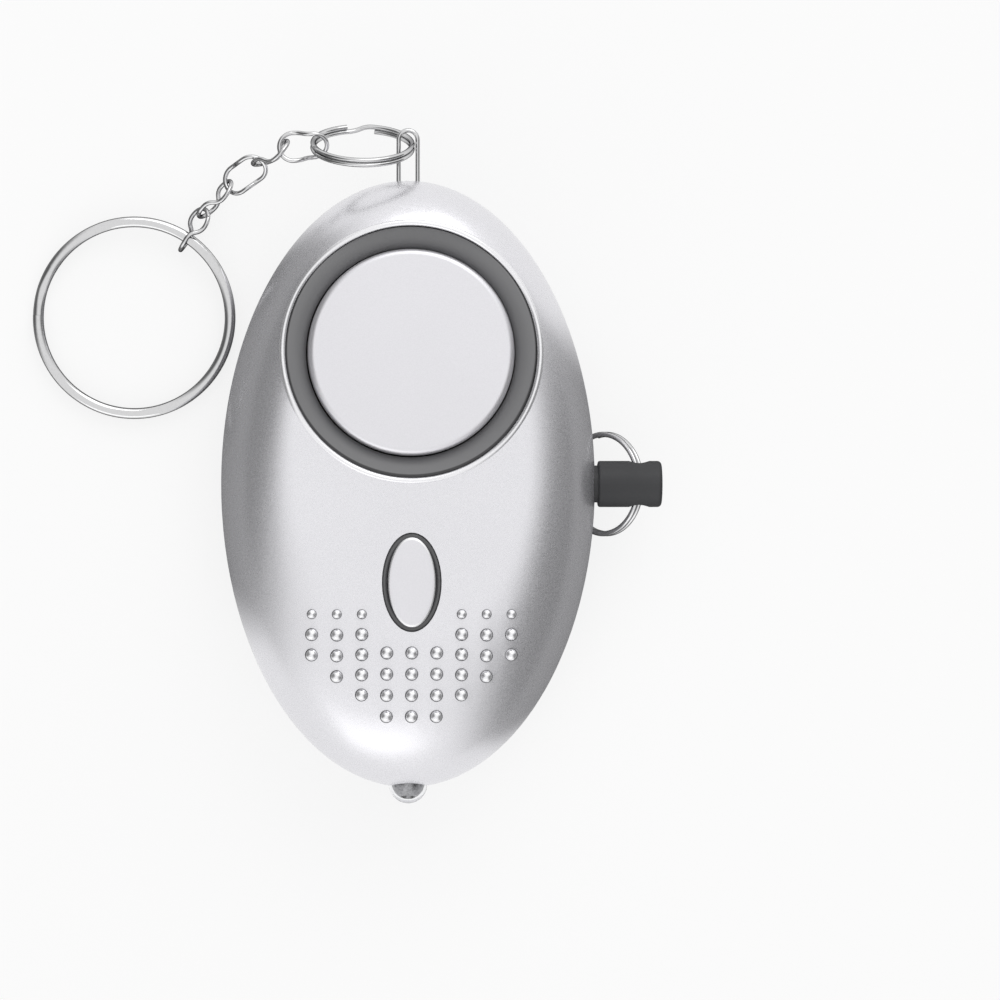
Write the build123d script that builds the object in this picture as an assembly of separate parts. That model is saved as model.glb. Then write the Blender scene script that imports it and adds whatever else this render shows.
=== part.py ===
from build123d import *
import os
from math import acos, asin, atan2, cos, degrees, hypot, pi, radians, sin

# Personal safety alarm: an egg-shaped case with a siren, a light button, an end lamp, a pull
# pin in its right side, and a chain of rings at its top end. Sizes are in millimetres.
# The case lies on its flat back. +Z leaves the front face, +Y points to the bail at the top
# end, +X points to the pull pin, and the origin is on the back face.

# Case
CASE_LENGTH = 90.0
CASE_WIDTH = 55.5
CASE_THICKNESS = 23.8
SIDE_ROUND = 11.0        # from the side edge to the flat of the front or back
TOP_ROUND = 12.5         # the same at the top end
BOTTOM_ROUND = 21.7      # the same at the bottom end
WALL = 1.6
LIP_HEIGHT = 1.0
LIP_THICKNESS = 0.75
FIT_GAP = 0.1            # between moulded pieces that plug together
SEAM_GROOVE = (0.16, 0.3)          # height and depth of the line that shows between the shells
SEAM_Z = CASE_THICKNESS / 2
INNER_BACK_Z = WALL
INNER_FRONT_Z = CASE_THICKNESS - WALL

# Siren, in a frame of its own that leans back a little towards the top end
SIREN_Y = 19.5
SIREN_LEAN = 3.0
SIREN_RISE = -0.45       # middle of the cap's face, from the case's front plane
CAP_RADIUS = 15.25
CAP_THICKNESS = 1.2
CAP_CROWN = 0.25
CAP_SKIRT = 3.4
CAP_SKIRT_WALL = 1.1
CAP_LEG_WIDTH = 2.4
CAP_LEG_COUNT = 4
CAP_GAP = 0.65           # between the cap and the funnel round it
FUNNEL_WIDTH = 2.8
FUNNEL_RIM = 0.5
SURROUND_INNER_RADIUS = CAP_RADIUS + CAP_GAP
SURROUND_OUTER_LEVEL = -1.3
SURROUND_INNER_LEVEL = -2.7
WELL_RADIUS = SURROUND_INNER_RADIUS + FUNNEL_WIDTH
WELL_WALL = 1.5
WELL_FLOOR = -5.05
WELL_LEDGE = 1.15
WELL_LEDGE_RADIUS = SURROUND_INNER_RADIUS + 1.0
CUP_RADIUS = WELL_LEDGE_RADIUS - 0.2
CUP_WALL = 2.7
CUP_BORE_RADIUS = CUP_RADIUS - CUP_WALL
CUP_DEPTH = 3.1
CUP_WEB = 0.8
CUP_PORT_RADIUS = 4.0
CUP_STEP = 1.0
SOUNDER_DISC_RADIUS = CUP_BORE_RADIUS - 0.5
SOUNDER_DISC_THICKNESS = 0.3
CERAMIC_RADIUS = 10.0
CERAMIC_THICKNESS = 0.25
CLAMP_RING_WIDTH = 2.0
CLAMP_RING_THICKNESS = 0.8

# Light button, its trim and the switch under it
BUTTON_Y = -14.5
BUTTON_WIDTH = 7.0
BUTTON_LENGTH = 13.25
BUTTON_PROUD = 0.7
BUTTON_CROWN = 0.35
BUTTON_TRAVEL = 0.5
BUTTON_GAP = 0.08
BUTTON_FLANGE = 1.2
BUTTON_FLANGE_THICKNESS = 0.8
BUTTON_STEM_RADIUS = 1.5
TRIM_WIDTH = 8.76
TRIM_LENGTH = 14.6
TRIM_RECESS = 0.05
BUTTON_STEM_LENGTH = 1.95
SWITCH_SIDE = 6.0
SWITCH_FLOOR = 0.4
PLUNGER_RADIUS = 1.75
PLUNGER_PROUD = 0.7
PLUNGER_GAP = 0.05

# Grip dots: columns beside the middle one, each with its first and last dot and its count
DOT_PITCH = 3.68
DOT_COLUMNS = {4: (-19.2, -25.2, 3), 3: (-19.2, -28.4, 4), 2: (-19.2, -31.1, 5),
               1: (-24.9, -34.3, 4), 0: (-24.9, -34.3, 4)}
DOT_RADIUS = 0.95
TOP_DOT_RADIUS = 0.72
TOP_DOT_ABOVE = -20.0    # dots above this place are the small ones

# Circuit board and what stands on it
BOARD_ABOVE_SEAM = 2.3
BOARD_THICKNESS = 1.0
BOARD_BELOW_PIN = 6.0    # from the pin's axis to the board's upper edge
BOARD_MARGIN = 1.2       # from the lamp's leads to the board's lower edge
BOARD_CLEARANCE = 1.2
BOARD_Z = SEAM_Z + BOARD_ABOVE_SEAM
BOARD_TOP_Z = BOARD_Z + BOARD_THICKNESS
BOARD_HEADROOM = INNER_FRONT_Z - BOARD_TOP_Z
BOARD_POSTS = [(12.0, -24.0), (-12.0, -24.0), (-13.0, -9.5)]
POST_RADIUS = 2.0
BOARD_SCREW_HEAD = (1.7, 1.1)      # radius, height
BOARD_SCREW_SHANK = (0.65, 6.0)
CHIP = ((-6.5, -23.0), (5.0, 4.0, 1.5))
TRANSISTOR = ((6.5, -23.0), (4.5, 2.5, 1.5))
COIL_PLACE = (11.0, -14.5)
COIL_FLANGE_RADIUS = 3.2
COIL_CORE_RADIUS = 1.5
COIL_FLANGE_THICKNESS = 0.7
COIL_HEIGHT = BOARD_HEADROOM - 2.2
CAPACITOR = ((-11.0, -16.0), 2.2, BOARD_HEADROOM - 1.8)
CAPACITOR_ROUND = 0.4
RESISTOR_SIZE = (1.25, 2.0, 0.55)
RESISTOR_PITCH = 2.2
RESISTOR_ROW = (-5.2, -19.4)       # place of the first
RESISTOR_COUNT = 5

# End lamp
LAMP_RADIUS = 2.85
LAMP_PROUD = 2.4
LAMP_LENGTH = 8.6
LAMP_FLANGE_RADIUS = 3.3
LAMP_FLANGE_THICKNESS = 1.0
LAMP_GAP = 0.08
LEAD_SIDE = 0.5
LEAD_SPREAD = 2.54
LEAD_REACH = 2.0
LEAD_TAIL = 0.6          # above the board
RIB_THICKNESS = 1.2

# Insulated leads
SIREN_LEAD_THICKNESS = 0.8
BATTERY_LEAD_THICKNESS = 0.9

# Batteries
CELL_RADIUS = 5.8
CELL_LENGTH = 5.4
CELL_COUNT = 3
CELL_GAP = 0.05
HOLDER_Y = 15.0
HOLDER_FLOOR = 0.5
HOLDER_WALL = 0.8
HOLDER_HEIGHT = 7.6
CONTACT_THICKNESS = 0.4
CONTACT_SPACE = 2.0

# Pull pin, along +X at the seam's level
PIN_Y = 0.0
PIN_KNOB_RADIUS = 3.43
PIN_KNOB_GAP = 0.45      # between the case's side and the knob
PIN_KNOB_START = CASE_WIDTH / 2 + PIN_KNOB_GAP
PIN_KNOB_LENGTH = 9.46
PIN_NECK_RADIUS = 2.75
PIN_PLUG_RADIUS = 2.2
PIN_PLUG_DEPTH = 13.35   # inside the case's side
PIN_PLUG_INNER_END = CASE_WIDTH / 2 - PIN_PLUG_DEPTH
PIN_BLADE_LENGTH = 3.8
PIN_BLADE_WIDTH = 3.0
PIN_BLADE_THICKNESS = 1.2
PIN_BORE_GAP = 0.05
SOCKET_RADIUS = 4.0
SOCKET_COLLAR_RADIUS = 4.8
SOCKET_COLLAR_WIDTH = 1.2
SOCKET_RIB_DEPTH = 10.25
SOCKET_RIB_X = CASE_WIDTH / 2 - SOCKET_RIB_DEPTH
SOCKET_SETBACK = 1.0     # from the inner wall to the socket, past the wall's curve
SOCKET_RIB_HALF = 5.2
LEAF_WIDTH = 2.8
LEAF_THICKNESS = 0.3
LEAF_GAP = 0.1
LEAF_OVERHANG = 2.4
LEAF_FOOT = 3.0
LEAF_RISER_SETBACKS = (6.0, 2.0)   # of the lower and the upper leaf, from the board's upper edge
KNOB_HOLE_FROM_END = 3.3
KNOB_HOLE_WAIST = 1.05
KNOB_HOLE_MOUTH = 1.6
KNOB_HOLE_OFFSET = 0.15  # how far the ring's wire runs off the hole's axis at its waist

# Screws that close the case, driven in from the back
CASE_POST_RADIUS = 2.6
POST_TO_WELL = 0.15      # how far the upper posts run into the well's wall
POST_BEARING = 30.5      # degrees below level, from the siren's middle to an upper post
POST_TO_BUTTON = 1.0
UPPER_POST_REACH = WELL_RADIUS + WELL_WALL + CASE_POST_RADIUS - POST_TO_WELL
UPPER_POST_X = UPPER_POST_REACH * cos(radians(POST_BEARING))
UPPER_POST_Y = SIREN_Y - UPPER_POST_REACH * sin(radians(POST_BEARING))
LOWER_POST_Y = BUTTON_Y - BUTTON_LENGTH / 2 - BUTTON_FLANGE - POST_TO_BUTTON - CASE_POST_RADIUS
CASE_SCREWS = [(-UPPER_POST_X, UPPER_POST_Y), (UPPER_POST_X, UPPER_POST_Y), (0.0, LOWER_POST_Y)]
CASE_SCREW_HEAD = (2.0, 1.6)
CASE_SCREW_SHANK = (0.85, 14.0)
CASE_SCREW_SEAT = 3.0    # level of the counterbore's floor
SCREW_CLEARANCE = 0.3
PILOT_CLEARANCE = 0.05
SLOT_WIDTH = 0.6
SLOT_DEPTH = 0.7

# Wire bail at the top end
BAIL_WIRE = 0.65
BAIL_WIDTH = 3.47
BAIL_HEIGHT = 7.8        # above the tip of the case
BAIL_FOOT = 1.5
BAIL_FOOT_BEND = 0.6
BAIL_FOOT_DEPTH = 2.4    # from the tip of the case down to the foot's middle
BAIL_HOLE_GAP = 0.06

# Split rings: outer diameter, then the wire's width across the ring and its height
TOP_RING = (15.5, 0.80, 0.68)
PIN_RING = (15.6, 0.80, 0.68)
KEY_RING = (30.2, 1.60, 1.10)
TURN_GAP = 0.06          # between a split ring's two turns
CROSSOVER = 27.0         # degrees of the ring over which the wire changes turn
END_GAP = 3.0            # degrees left between the crossover and each wire end
TOP_RING_TILT = 68.0     # from the level of the front face
TOP_RING_DROP = 1.95     # from the crown's inner side down to the ring's wire
TOP_RING_SIDE_GAP = 0.1
FLOOR_GAP = 0.05

# Chain of twisted links: each turns from the last and takes its share of the way down
LINK_WIRE = 0.65
LINK_LENGTH = 7.75
LINK_WIDTH = 4.8
LINK_TWIST = 40.0
LINK_GAP = 0.2
LINK_NAMES = ["link_a", "link_b", "link_c", "link_d", "link_e"]
LINK_HEADINGS = [184.0, 213.0, 215.0, 228.0, 238.0]
LINK_ROLLS = [-15.0, 90.0, 0.0, 90.0, 75.0]
LINK_DROP_SHARES = [0.0, 0.46, 0.27, 0.20, 0.07]
LINK_SLACKS = [0.0, 0.2, 0.1, 0.1, 0.45]   # how loosely each link hooks the one before it
KEY_RING_HEADING = 236.0
KEY_RING_ENDS_BEARING = 162.0      # where the key ring's wire ends lie, in degrees from +X
PIN_RING_ENDS_TURN = 60.0          # the same for the pin's ring, from its lowest point


def rod(radius, start, end):
    """Round bar from one point to another."""
    start, end = Vector(start), Vector(end)
    return extrude(Plane(start, z_dir=end - start) * Circle(radius), (end - start).length)


def block(low, high):
    """Box between two opposite corners."""
    low, high = Vector(low), Vector(high)
    return Pos(*((low + high) / 2)) * Box(*(high - low))


def oval(width, length, centre_y, bottom, top):
    """Upright oval plate on the middle line of the case."""
    return extrude(Pos(0, centre_y, bottom) * Ellipse(width / 2, length / 2), top - bottom)


def turned(profile):
    """Solid of revolution about Z from (radius, level) corners."""
    return revolve(Plane.XZ * make_face(Polyline(*profile, close=True)), Axis.Z)


def outline(angle, inset=0.0):
    """Half width, half length and middle of the case at one step round its edge profile.

    The profile is a quarter ellipse: angle 0 is the seam and 90 degrees is the flat."""
    drop = 1 - cos(angle)
    half_width = CASE_WIDTH / 2 - inset - (SIDE_ROUND - inset) * drop
    top = CASE_LENGTH / 2 - inset - (TOP_ROUND - inset) * drop
    bottom = CASE_LENGTH / 2 - inset - (BOTTOM_ROUND - inset) * drop
    return half_width, (top + bottom) / 2, (top - bottom) / 2


def case_half(side, inset=0.0):
    """Solid half of the egg, from the seam to the front (side 1) or the back (side -1)."""
    steps = 8
    sections = []
    for step in range(steps + 1):
        angle = pi / 2 * step / steps
        half_width, half_length, middle = outline(angle, inset)
        level = SEAM_Z + side * (CASE_THICKNESS / 2 - inset) * sin(angle)
        sections.append(Pos(0, middle, level) * Ellipse(half_width, half_length))
    return loft(sections)


def front_height(x, y):
    """Level of the front surface above a point of the case's plan."""
    low, high = 0.0, pi / 2
    for _ in range(40):
        angle = (low + high) / 2
        half_width, half_length, middle = outline(angle)
        inside = (x / half_width) ** 2 + ((y - middle) / half_length) ** 2 <= 1
        low, high = (angle, high) if inside else (low, angle)
    return SEAM_Z + CASE_THICKNESS / 2 * sin(low)


def seam_ring(inset, height):
    """Oval plate that stands on the seam, inset from the case's edge."""
    return oval(CASE_WIDTH - 2 * inset, CASE_LENGTH - 2 * inset, 0, SEAM_Z, SEAM_Z + height)


# Places that several pieces share
SIREN = Pos(0, SIREN_Y, CASE_THICKNESS + SIREN_RISE) * Rot(X=-SIREN_LEAN)
PIN_HOLE_X = PIN_KNOB_START + PIN_KNOB_LENGTH - KNOB_HOLE_FROM_END
SHELL_SIDE_X = CASE_WIDTH / 2
SOCKET_START = PIN_PLUG_INNER_END
SOCKET_END = SHELL_SIDE_X - WALL - SOCKET_SETBACK
TIP_Y = CASE_LENGTH / 2
LAMP_TIP_Y = -TIP_Y - LAMP_PROUD
LAMP_BACK_Y = LAMP_TIP_Y + LAMP_LENGTH
LEAD_Y = LAMP_BACK_Y + LEAD_REACH
BOARD_TOP = PIN_Y - BOARD_BELOW_PIN
BOARD_BOTTOM = LEAD_Y - BOARD_MARGIN
LAMP_RIB_Y = LAMP_BACK_Y - LAMP_FLANGE_THICKNESS - FIT_GAP - RIB_THICKNESS
CELL_Z = INNER_BACK_Z + FIT_GAP + HOLDER_FLOOR + CELL_RADIUS + CELL_GAP
STACK_LENGTH = CELL_COUNT * CELL_LENGTH + (CELL_COUNT - 1) * CELL_GAP
BAIL_LEG_X = (BAIL_WIDTH - BAIL_WIRE) / 2


def edge_holes(case):
    """The case without its seam's groove and the holes that cross it: pin, lamp and bail."""
    height, depth = SEAM_GROOVE
    groove = oval(CASE_WIDTH + 1, CASE_LENGTH + 1, 0, SEAM_Z - height / 2, SEAM_Z + height / 2)
    case = case - (groove - oval(CASE_WIDTH - 2 * depth, CASE_LENGTH - 2 * depth, 0, 0, CASE_THICKNESS))
    pin = rod(PIN_NECK_RADIUS + FIT_GAP, (SOCKET_END, PIN_Y, SEAM_Z), (SHELL_SIDE_X + 5, PIN_Y, SEAM_Z))
    lamp = rod(LAMP_RADIUS + LAMP_GAP, (0, -TIP_Y - 5, SEAM_Z), (0, LAMP_RIB_Y + 4, SEAM_Z))
    case = case - pin - lamp
    for side in (-1, 1):
        leg = (side * BAIL_LEG_X, TIP_Y - WALL - LIP_HEIGHT, SEAM_Z)
        top = (side * BAIL_LEG_X, TIP_Y + 5, SEAM_Z)
        case -= rod(BAIL_WIRE / 2 + BAIL_HOLE_GAP, leg, top)
    return case


def cradles(side, skin):
    """Half-round ribs of one shell that hold the pin's socket and the lamp."""
    reach = SEAM_Z + side * CASE_THICKNESS / 2
    low, high = sorted((SEAM_Z + side * FIT_GAP / 2, reach))
    socket = block((SOCKET_RIB_X, -SOCKET_RIB_HALF, low),
                   (SOCKET_RIB_X + RIB_THICKNESS, SOCKET_RIB_HALF, high))
    lamp = block((-SOCKET_RIB_HALF, LAMP_RIB_Y, low),
                 (SOCKET_RIB_HALF, LAMP_RIB_Y + RIB_THICKNESS, high))
    return (socket + lamp) & skin


def cradle_bores():
    """Bores through both shells' ribs."""
    socket = rod(SOCKET_RADIUS + FIT_GAP / 2, (SOCKET_RIB_X - 1, PIN_Y, SEAM_Z),
                 (SOCKET_RIB_X + RIB_THICKNESS + 1, PIN_Y, SEAM_Z))
    lamp = rod(LAMP_RADIUS + LAMP_GAP, (0, LAMP_RIB_Y - 1, SEAM_Z),
               (0, LAMP_RIB_Y + RIB_THICKNESS + 1, SEAM_Z))
    return socket + lamp


def grip_dots():
    """Small hemispheres that stand on the lower front."""
    dots = []
    for column, (first, last, count) in DOT_COLUMNS.items():
        for side in ((-1, 1) if column else (1,)):
            x = side * column * DOT_PITCH
            for row in range(count):
                y = first + (last - first) * row / (count - 1)
                radius = TOP_DOT_RADIUS if y > TOP_DOT_ABOVE else DOT_RADIUS
                dots.append(Pos(x, y, front_height(x, y)) * Sphere(radius))
    return dots


def front_shell():
    skin = case_half(1)
    shell = skin - case_half(1, WALL)
    shell -= seam_ring(LIP_THICKNESS, LIP_HEIGHT + FIT_GAP)
    well_bottom = WELL_FLOOR - WELL_LEDGE
    well = SIREN * Pos(0, 0, well_bottom) * Cylinder(
        WELL_RADIUS + WELL_WALL, -well_bottom + 2, align=(Align.CENTER, Align.CENTER, Align.MIN))
    shell += well & skin
    for x, y in CASE_SCREWS:
        shell += rod(CASE_POST_RADIUS, (x, y, SEAM_Z + FIT_GAP / 2), (x, y, CASE_THICKNESS)) & skin
    shell += cradles(1, skin)
    shell -= SIREN * Pos(0, 0, WELL_FLOOR) * Cylinder(
        WELL_RADIUS, -WELL_FLOOR + 3, align=(Align.CENTER, Align.CENTER, Align.MIN))
    shell -= SIREN * Pos(0, 0, well_bottom - 1) * Cylinder(
        WELL_LEDGE_RADIUS, 3, align=(Align.CENTER, Align.CENTER, Align.MIN))
    screw_end = CASE_SCREW_SEAT + CASE_SCREW_SHANK[1] + 1
    for x, y in CASE_SCREWS:
        shell -= rod(CASE_SCREW_SHANK[0] + PILOT_CLEARANCE, (x, y, SEAM_Z - 1), (x, y, screw_end))
    shell -= oval(TRIM_WIDTH + PILOT_CLEARANCE, TRIM_LENGTH + PILOT_CLEARANCE, BUTTON_Y,
                  INNER_FRONT_Z - 1, CASE_THICKNESS + 1)
    shell = edge_holes(shell - cradle_bores())
    return shell + grip_dots()


def rear_shell():
    skin = case_half(-1)
    shell = skin - case_half(-1, WALL)
    lip = seam_ring(LIP_THICKNESS + FIT_GAP, LIP_HEIGHT) - seam_ring(WALL, LIP_HEIGHT)
    lip_root = oval(CASE_WIDTH - 2 * WALL + 2 * LIP_THICKNESS, CASE_LENGTH - 2 * WALL + 2 * LIP_THICKNESS,
                    0, SEAM_Z - LIP_HEIGHT, SEAM_Z)
    lip_root -= oval(CASE_WIDTH - 2 * WALL, CASE_LENGTH - 2 * WALL, 0, SEAM_Z - LIP_HEIGHT, SEAM_Z)
    shell += lip + (lip_root & skin)
    for x, y in CASE_SCREWS:
        shell += rod(CASE_POST_RADIUS, (x, y, 0), (x, y, SEAM_Z - FIT_GAP / 2)) & skin
    for x, y in BOARD_POSTS:
        shell += rod(POST_RADIUS, (x, y, 0), (x, y, SEAM_Z)) & skin
        shell += rod(POST_RADIUS, (x, y, SEAM_Z - 1), (x, y, BOARD_Z))
    shell += cradles(-1, skin)
    for x, y in CASE_SCREWS:
        shell -= rod(CASE_SCREW_SHANK[0] + SCREW_CLEARANCE, (x, y, -1), (x, y, SEAM_Z + 1))
        shell -= rod(CASE_SCREW_HEAD[0] + SCREW_CLEARANCE, (x, y, -1), (x, y, CASE_SCREW_SEAT))
    for x, y in BOARD_POSTS:
        depth = BOARD_Z - BOARD_SCREW_SHANK[1]
        shell -= rod(BOARD_SCREW_SHANK[0] + PILOT_CLEARANCE, (x, y, depth), (x, y, BOARD_Z + 1))
    return edge_holes(shell - cradle_bores())


def speaker_surround():
    outer = WELL_RADIUS - FIT_GAP
    return SIREN * turned([
        (SURROUND_INNER_RADIUS, WELL_FLOOR), (outer, WELL_FLOOR), (outer, SURROUND_OUTER_LEVEL),
        (outer - FUNNEL_RIM, SURROUND_OUTER_LEVEL), (SURROUND_INNER_RADIUS, SURROUND_INNER_LEVEL)])


def speaker_cap():
    """Crowned disc with a skirt, on legs that stand on the resonator cup."""
    inner = CAP_RADIUS - CAP_SKIRT_WALL
    rim = CAP_RADIUS - 0.5
    crown = ThreePointArc((0, 0), (rim / 2, -CAP_CROWN / 4), (rim, -CAP_CROWN))
    shoulder = TangentArc((rim, -CAP_CROWN), (CAP_RADIUS, -CAP_CROWN - 0.55), tangent=(1, -0.05))
    rest = Polyline((CAP_RADIUS, -CAP_CROWN - 0.55), (CAP_RADIUS, -CAP_SKIRT), (inner, -CAP_SKIRT),
                    (inner, -CAP_THICKNESS), (0, -CAP_THICKNESS), (0, 0))
    cap = revolve(Plane.XZ * make_face(crown + shoulder + rest), Axis.Z)
    leg = block((inner + 0.05, -CAP_LEG_WIDTH / 2, WELL_FLOOR - WELL_LEDGE + CUP_WEB),
                (CAP_RADIUS - 0.05, CAP_LEG_WIDTH / 2, -CAP_SKIRT + 0.2))
    for index in range(CAP_LEG_COUNT):
        cap += Rot(Z=45 + 360 / CAP_LEG_COUNT * index) * leg
    return SIREN * cap


# The resonator cup hangs in the well's lower opening, with its web under the cap's legs
CUP_TOP = WELL_FLOOR - WELL_LEDGE + CUP_WEB
CUP_BOTTOM = CUP_TOP - CUP_DEPTH
DISC_TOP = CUP_BOTTOM + CLAMP_RING_THICKNESS / 2


def resonator_cup():
    cup = turned([
        (CUP_PORT_RADIUS, CUP_TOP), (CUP_RADIUS, CUP_TOP), (CUP_RADIUS, CUP_BOTTOM),
        (CUP_BORE_RADIUS, CUP_BOTTOM), (CUP_BORE_RADIUS, DISC_TOP),
        (SOUNDER_DISC_RADIUS - CUP_STEP, DISC_TOP), (SOUNDER_DISC_RADIUS - CUP_STEP, CUP_TOP - CUP_WEB),
        (CUP_PORT_RADIUS, CUP_TOP - CUP_WEB)])
    return SIREN * cup


def piezo_disc():
    return SIREN * Pos(0, 0, DISC_TOP - SOUNDER_DISC_THICKNESS / 2) * Cylinder(
        SOUNDER_DISC_RADIUS, SOUNDER_DISC_THICKNESS)


def piezo_ceramic():
    level = DISC_TOP - SOUNDER_DISC_THICKNESS - CERAMIC_THICKNESS / 2
    return SIREN * Pos(0, 0, level) * Cylinder(CERAMIC_RADIUS, CERAMIC_THICKNESS)


def sounder_clamp_ring():
    """Ring that holds the brass disc up against the cup's step."""
    top = DISC_TOP - SOUNDER_DISC_THICKNESS
    outer = CUP_BORE_RADIUS - FIT_GAP
    inner = outer - CLAMP_RING_WIDTH
    bottom = top - CLAMP_RING_THICKNESS
    return SIREN * turned([(inner, top), (outer, top), (outer, bottom), (inner, bottom)])


def button_trim():
    low, high = INNER_FRONT_Z, CASE_THICKNESS - TRIM_RECESS
    ring = oval(TRIM_WIDTH, TRIM_LENGTH, BUTTON_Y, low, high)
    inner_width = BUTTON_WIDTH + 2 * BUTTON_GAP
    inner_length = BUTTON_LENGTH + 2 * BUTTON_GAP
    return ring - oval(inner_width, inner_length, BUTTON_Y, low - 1, high + 1)


FLANGE_TOP = INNER_FRONT_Z - FIT_GAP
STEM_BOTTOM = FLANGE_TOP - BUTTON_FLANGE_THICKNESS - BUTTON_STEM_LENGTH
PLUNGER_TOP = STEM_BOTTOM - PLUNGER_GAP
PLUNGER_BOTTOM = BOARD_TOP_Z + SWITCH_FLOOR + BUTTON_TRAVEL + FIT_GAP
SWITCH_TOP = PLUNGER_TOP - PLUNGER_PROUD


def light_button():
    """Oval button with a crowned top, a flange behind the trim and a stem on the switch."""
    top = CASE_THICKNESS + BUTTON_PROUD
    flange_bottom = FLANGE_TOP - BUTTON_FLANGE_THICKNESS
    body = oval(BUTTON_WIDTH, BUTTON_LENGTH, BUTTON_Y, flange_bottom, top)
    body = fillet(body.faces().sort_by(Axis.Z)[-1].edges(), BUTTON_CROWN)
    body += oval(BUTTON_WIDTH + 2 * BUTTON_FLANGE, BUTTON_LENGTH + 2 * BUTTON_FLANGE, BUTTON_Y,
                 flange_bottom, FLANGE_TOP)
    stem = rod(BUTTON_STEM_RADIUS, (0, BUTTON_Y, STEM_BOTTOM), (0, BUTTON_Y, FLANGE_TOP))
    return body + stem


def tact_switch_base():
    half = SWITCH_SIDE / 2
    base = block((-half, BUTTON_Y - half, BOARD_TOP_Z), (half, BUTTON_Y + half, SWITCH_TOP))
    bore = rod(PLUNGER_RADIUS + PLUNGER_GAP, (0, BUTTON_Y, BOARD_TOP_Z + SWITCH_FLOOR),
               (0, BUTTON_Y, SWITCH_TOP + 1))
    return base - bore


def switch_plunger():
    return rod(PLUNGER_RADIUS, (0, BUTTON_Y, PLUNGER_BOTTOM), (0, BUTTON_Y, PLUNGER_TOP))


def circuit_board():
    clear = WALL + BOARD_CLEARANCE
    plate = oval(CASE_WIDTH - 2 * clear, CASE_LENGTH - 2 * clear, 0, BOARD_Z, BOARD_TOP_Z)
    plate &= block((-CASE_WIDTH, BOARD_BOTTOM, BOARD_Z), (CASE_WIDTH, BOARD_TOP, BOARD_TOP_Z))
    for x, y in CASE_SCREWS:
        plate -= rod(CASE_POST_RADIUS + 0.5, (x, y, BOARD_Z - 1), (x, y, BOARD_TOP_Z + 1))
    for x, y in BOARD_POSTS:
        plate -= rod(BOARD_SCREW_SHANK[0] + SCREW_CLEARANCE, (x, y, BOARD_Z - 1), (x, y, BOARD_TOP_Z + 1))
    for side in (-1, 1):
        x = side * LEAD_SPREAD / 2
        plate -= rod(LEAD_SIDE, (x, LEAD_Y, BOARD_Z - 1), (x, LEAD_Y, BOARD_TOP_Z + 1))
    return plate


def on_board(place, size):
    """Small flat component that lies on the board."""
    (x, y), (width, length, height) = place, size
    return block((x - width / 2, y - length / 2, BOARD_TOP_Z),
                 (x + width / 2, y + length / 2, BOARD_TOP_Z + height))


def driver_chip():
    """Chip with four short legs on each long side."""
    (x, y), (width, length, height) = CHIP
    chip = on_board((x, y), (width, length - 1.2, height))
    for side in (-1, 1):
        for leg in range(4):
            leg_x = x + (leg - 1.5) * 1.1
            edge = y + side * (length - 1.2) / 2
            tip = y + side * length / 2
            chip += block((leg_x - 0.2, min(edge, tip), BOARD_TOP_Z),
                          (leg_x + 0.2, max(edge, tip), BOARD_TOP_Z + 0.35))
    return chip


def switching_transistor():
    place, (width, length, height) = TRANSISTOR
    body = on_board(place, (width, length, height))
    tab = on_board((place[0], place[1] + length / 2 + 0.5), (width * 0.4, 1.0, 0.35))
    return body + tab


def chip_resistors():
    x, y = RESISTOR_ROW
    return [on_board((x + step * RESISTOR_PITCH, y), RESISTOR_SIZE) for step in range(RESISTOR_COUNT)]


def coil_core():
    x, y = COIL_PLACE
    top = BOARD_TOP_Z + COIL_HEIGHT
    core = rod(COIL_CORE_RADIUS, (x, y, BOARD_TOP_Z), (x, y, top))
    core += rod(COIL_FLANGE_RADIUS, (x, y, BOARD_TOP_Z), (x, y, BOARD_TOP_Z + COIL_FLANGE_THICKNESS))
    return core + rod(COIL_FLANGE_RADIUS, (x, y, top - COIL_FLANGE_THICKNESS), (x, y, top))


def step_up_coil():
    """Block of windings between the core's flanges."""
    low = BOARD_TOP_Z + COIL_FLANGE_THICKNESS
    high = BOARD_TOP_Z + COIL_HEIGHT - COIL_FLANGE_THICKNESS
    outer, inner = COIL_FLANGE_RADIUS - 0.3, COIL_CORE_RADIUS + 0.02
    return Pos(*COIL_PLACE, 0) * turned([(inner, low), (outer, low), (outer, high), (inner, high)])


def smoothing_capacitor():
    (x, y), radius, height = CAPACITOR
    can = rod(radius, (x, y, BOARD_TOP_Z), (x, y, BOARD_TOP_Z + height))
    return fillet(can.faces().sort_by(Axis.Z)[-1].edges(), CAPACITOR_ROUND)


def led_lamp():
    """Clear dome on a cylinder, with a flange behind the shells' ribs."""
    dome_y = LAMP_TIP_Y + LAMP_RADIUS
    lamp = rod(LAMP_RADIUS, (0, dome_y, SEAM_Z), (0, LAMP_BACK_Y, SEAM_Z))
    lamp += Pos(0, dome_y, SEAM_Z) * Sphere(LAMP_RADIUS)
    return lamp + rod(LAMP_FLANGE_RADIUS, (0, LAMP_BACK_Y - LAMP_FLANGE_THICKNESS, SEAM_Z),
                      (0, LAMP_BACK_Y, SEAM_Z))


def led_leads():
    """Two square leads that bend up from the lamp through the board."""
    half = LEAD_SIDE / 2
    leads = []
    for side in (-1, 1):
        x = side * LEAD_SPREAD / 2
        run = block((x - half, LAMP_BACK_Y, SEAM_Z - half), (x + half, LEAD_Y + half, SEAM_Z + half))
        rise = block((x - half, LEAD_Y - half, SEAM_Z), (x + half, LEAD_Y + half, BOARD_TOP_Z + LEAD_TAIL))
        leads.append(run + rise)
    return leads


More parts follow.
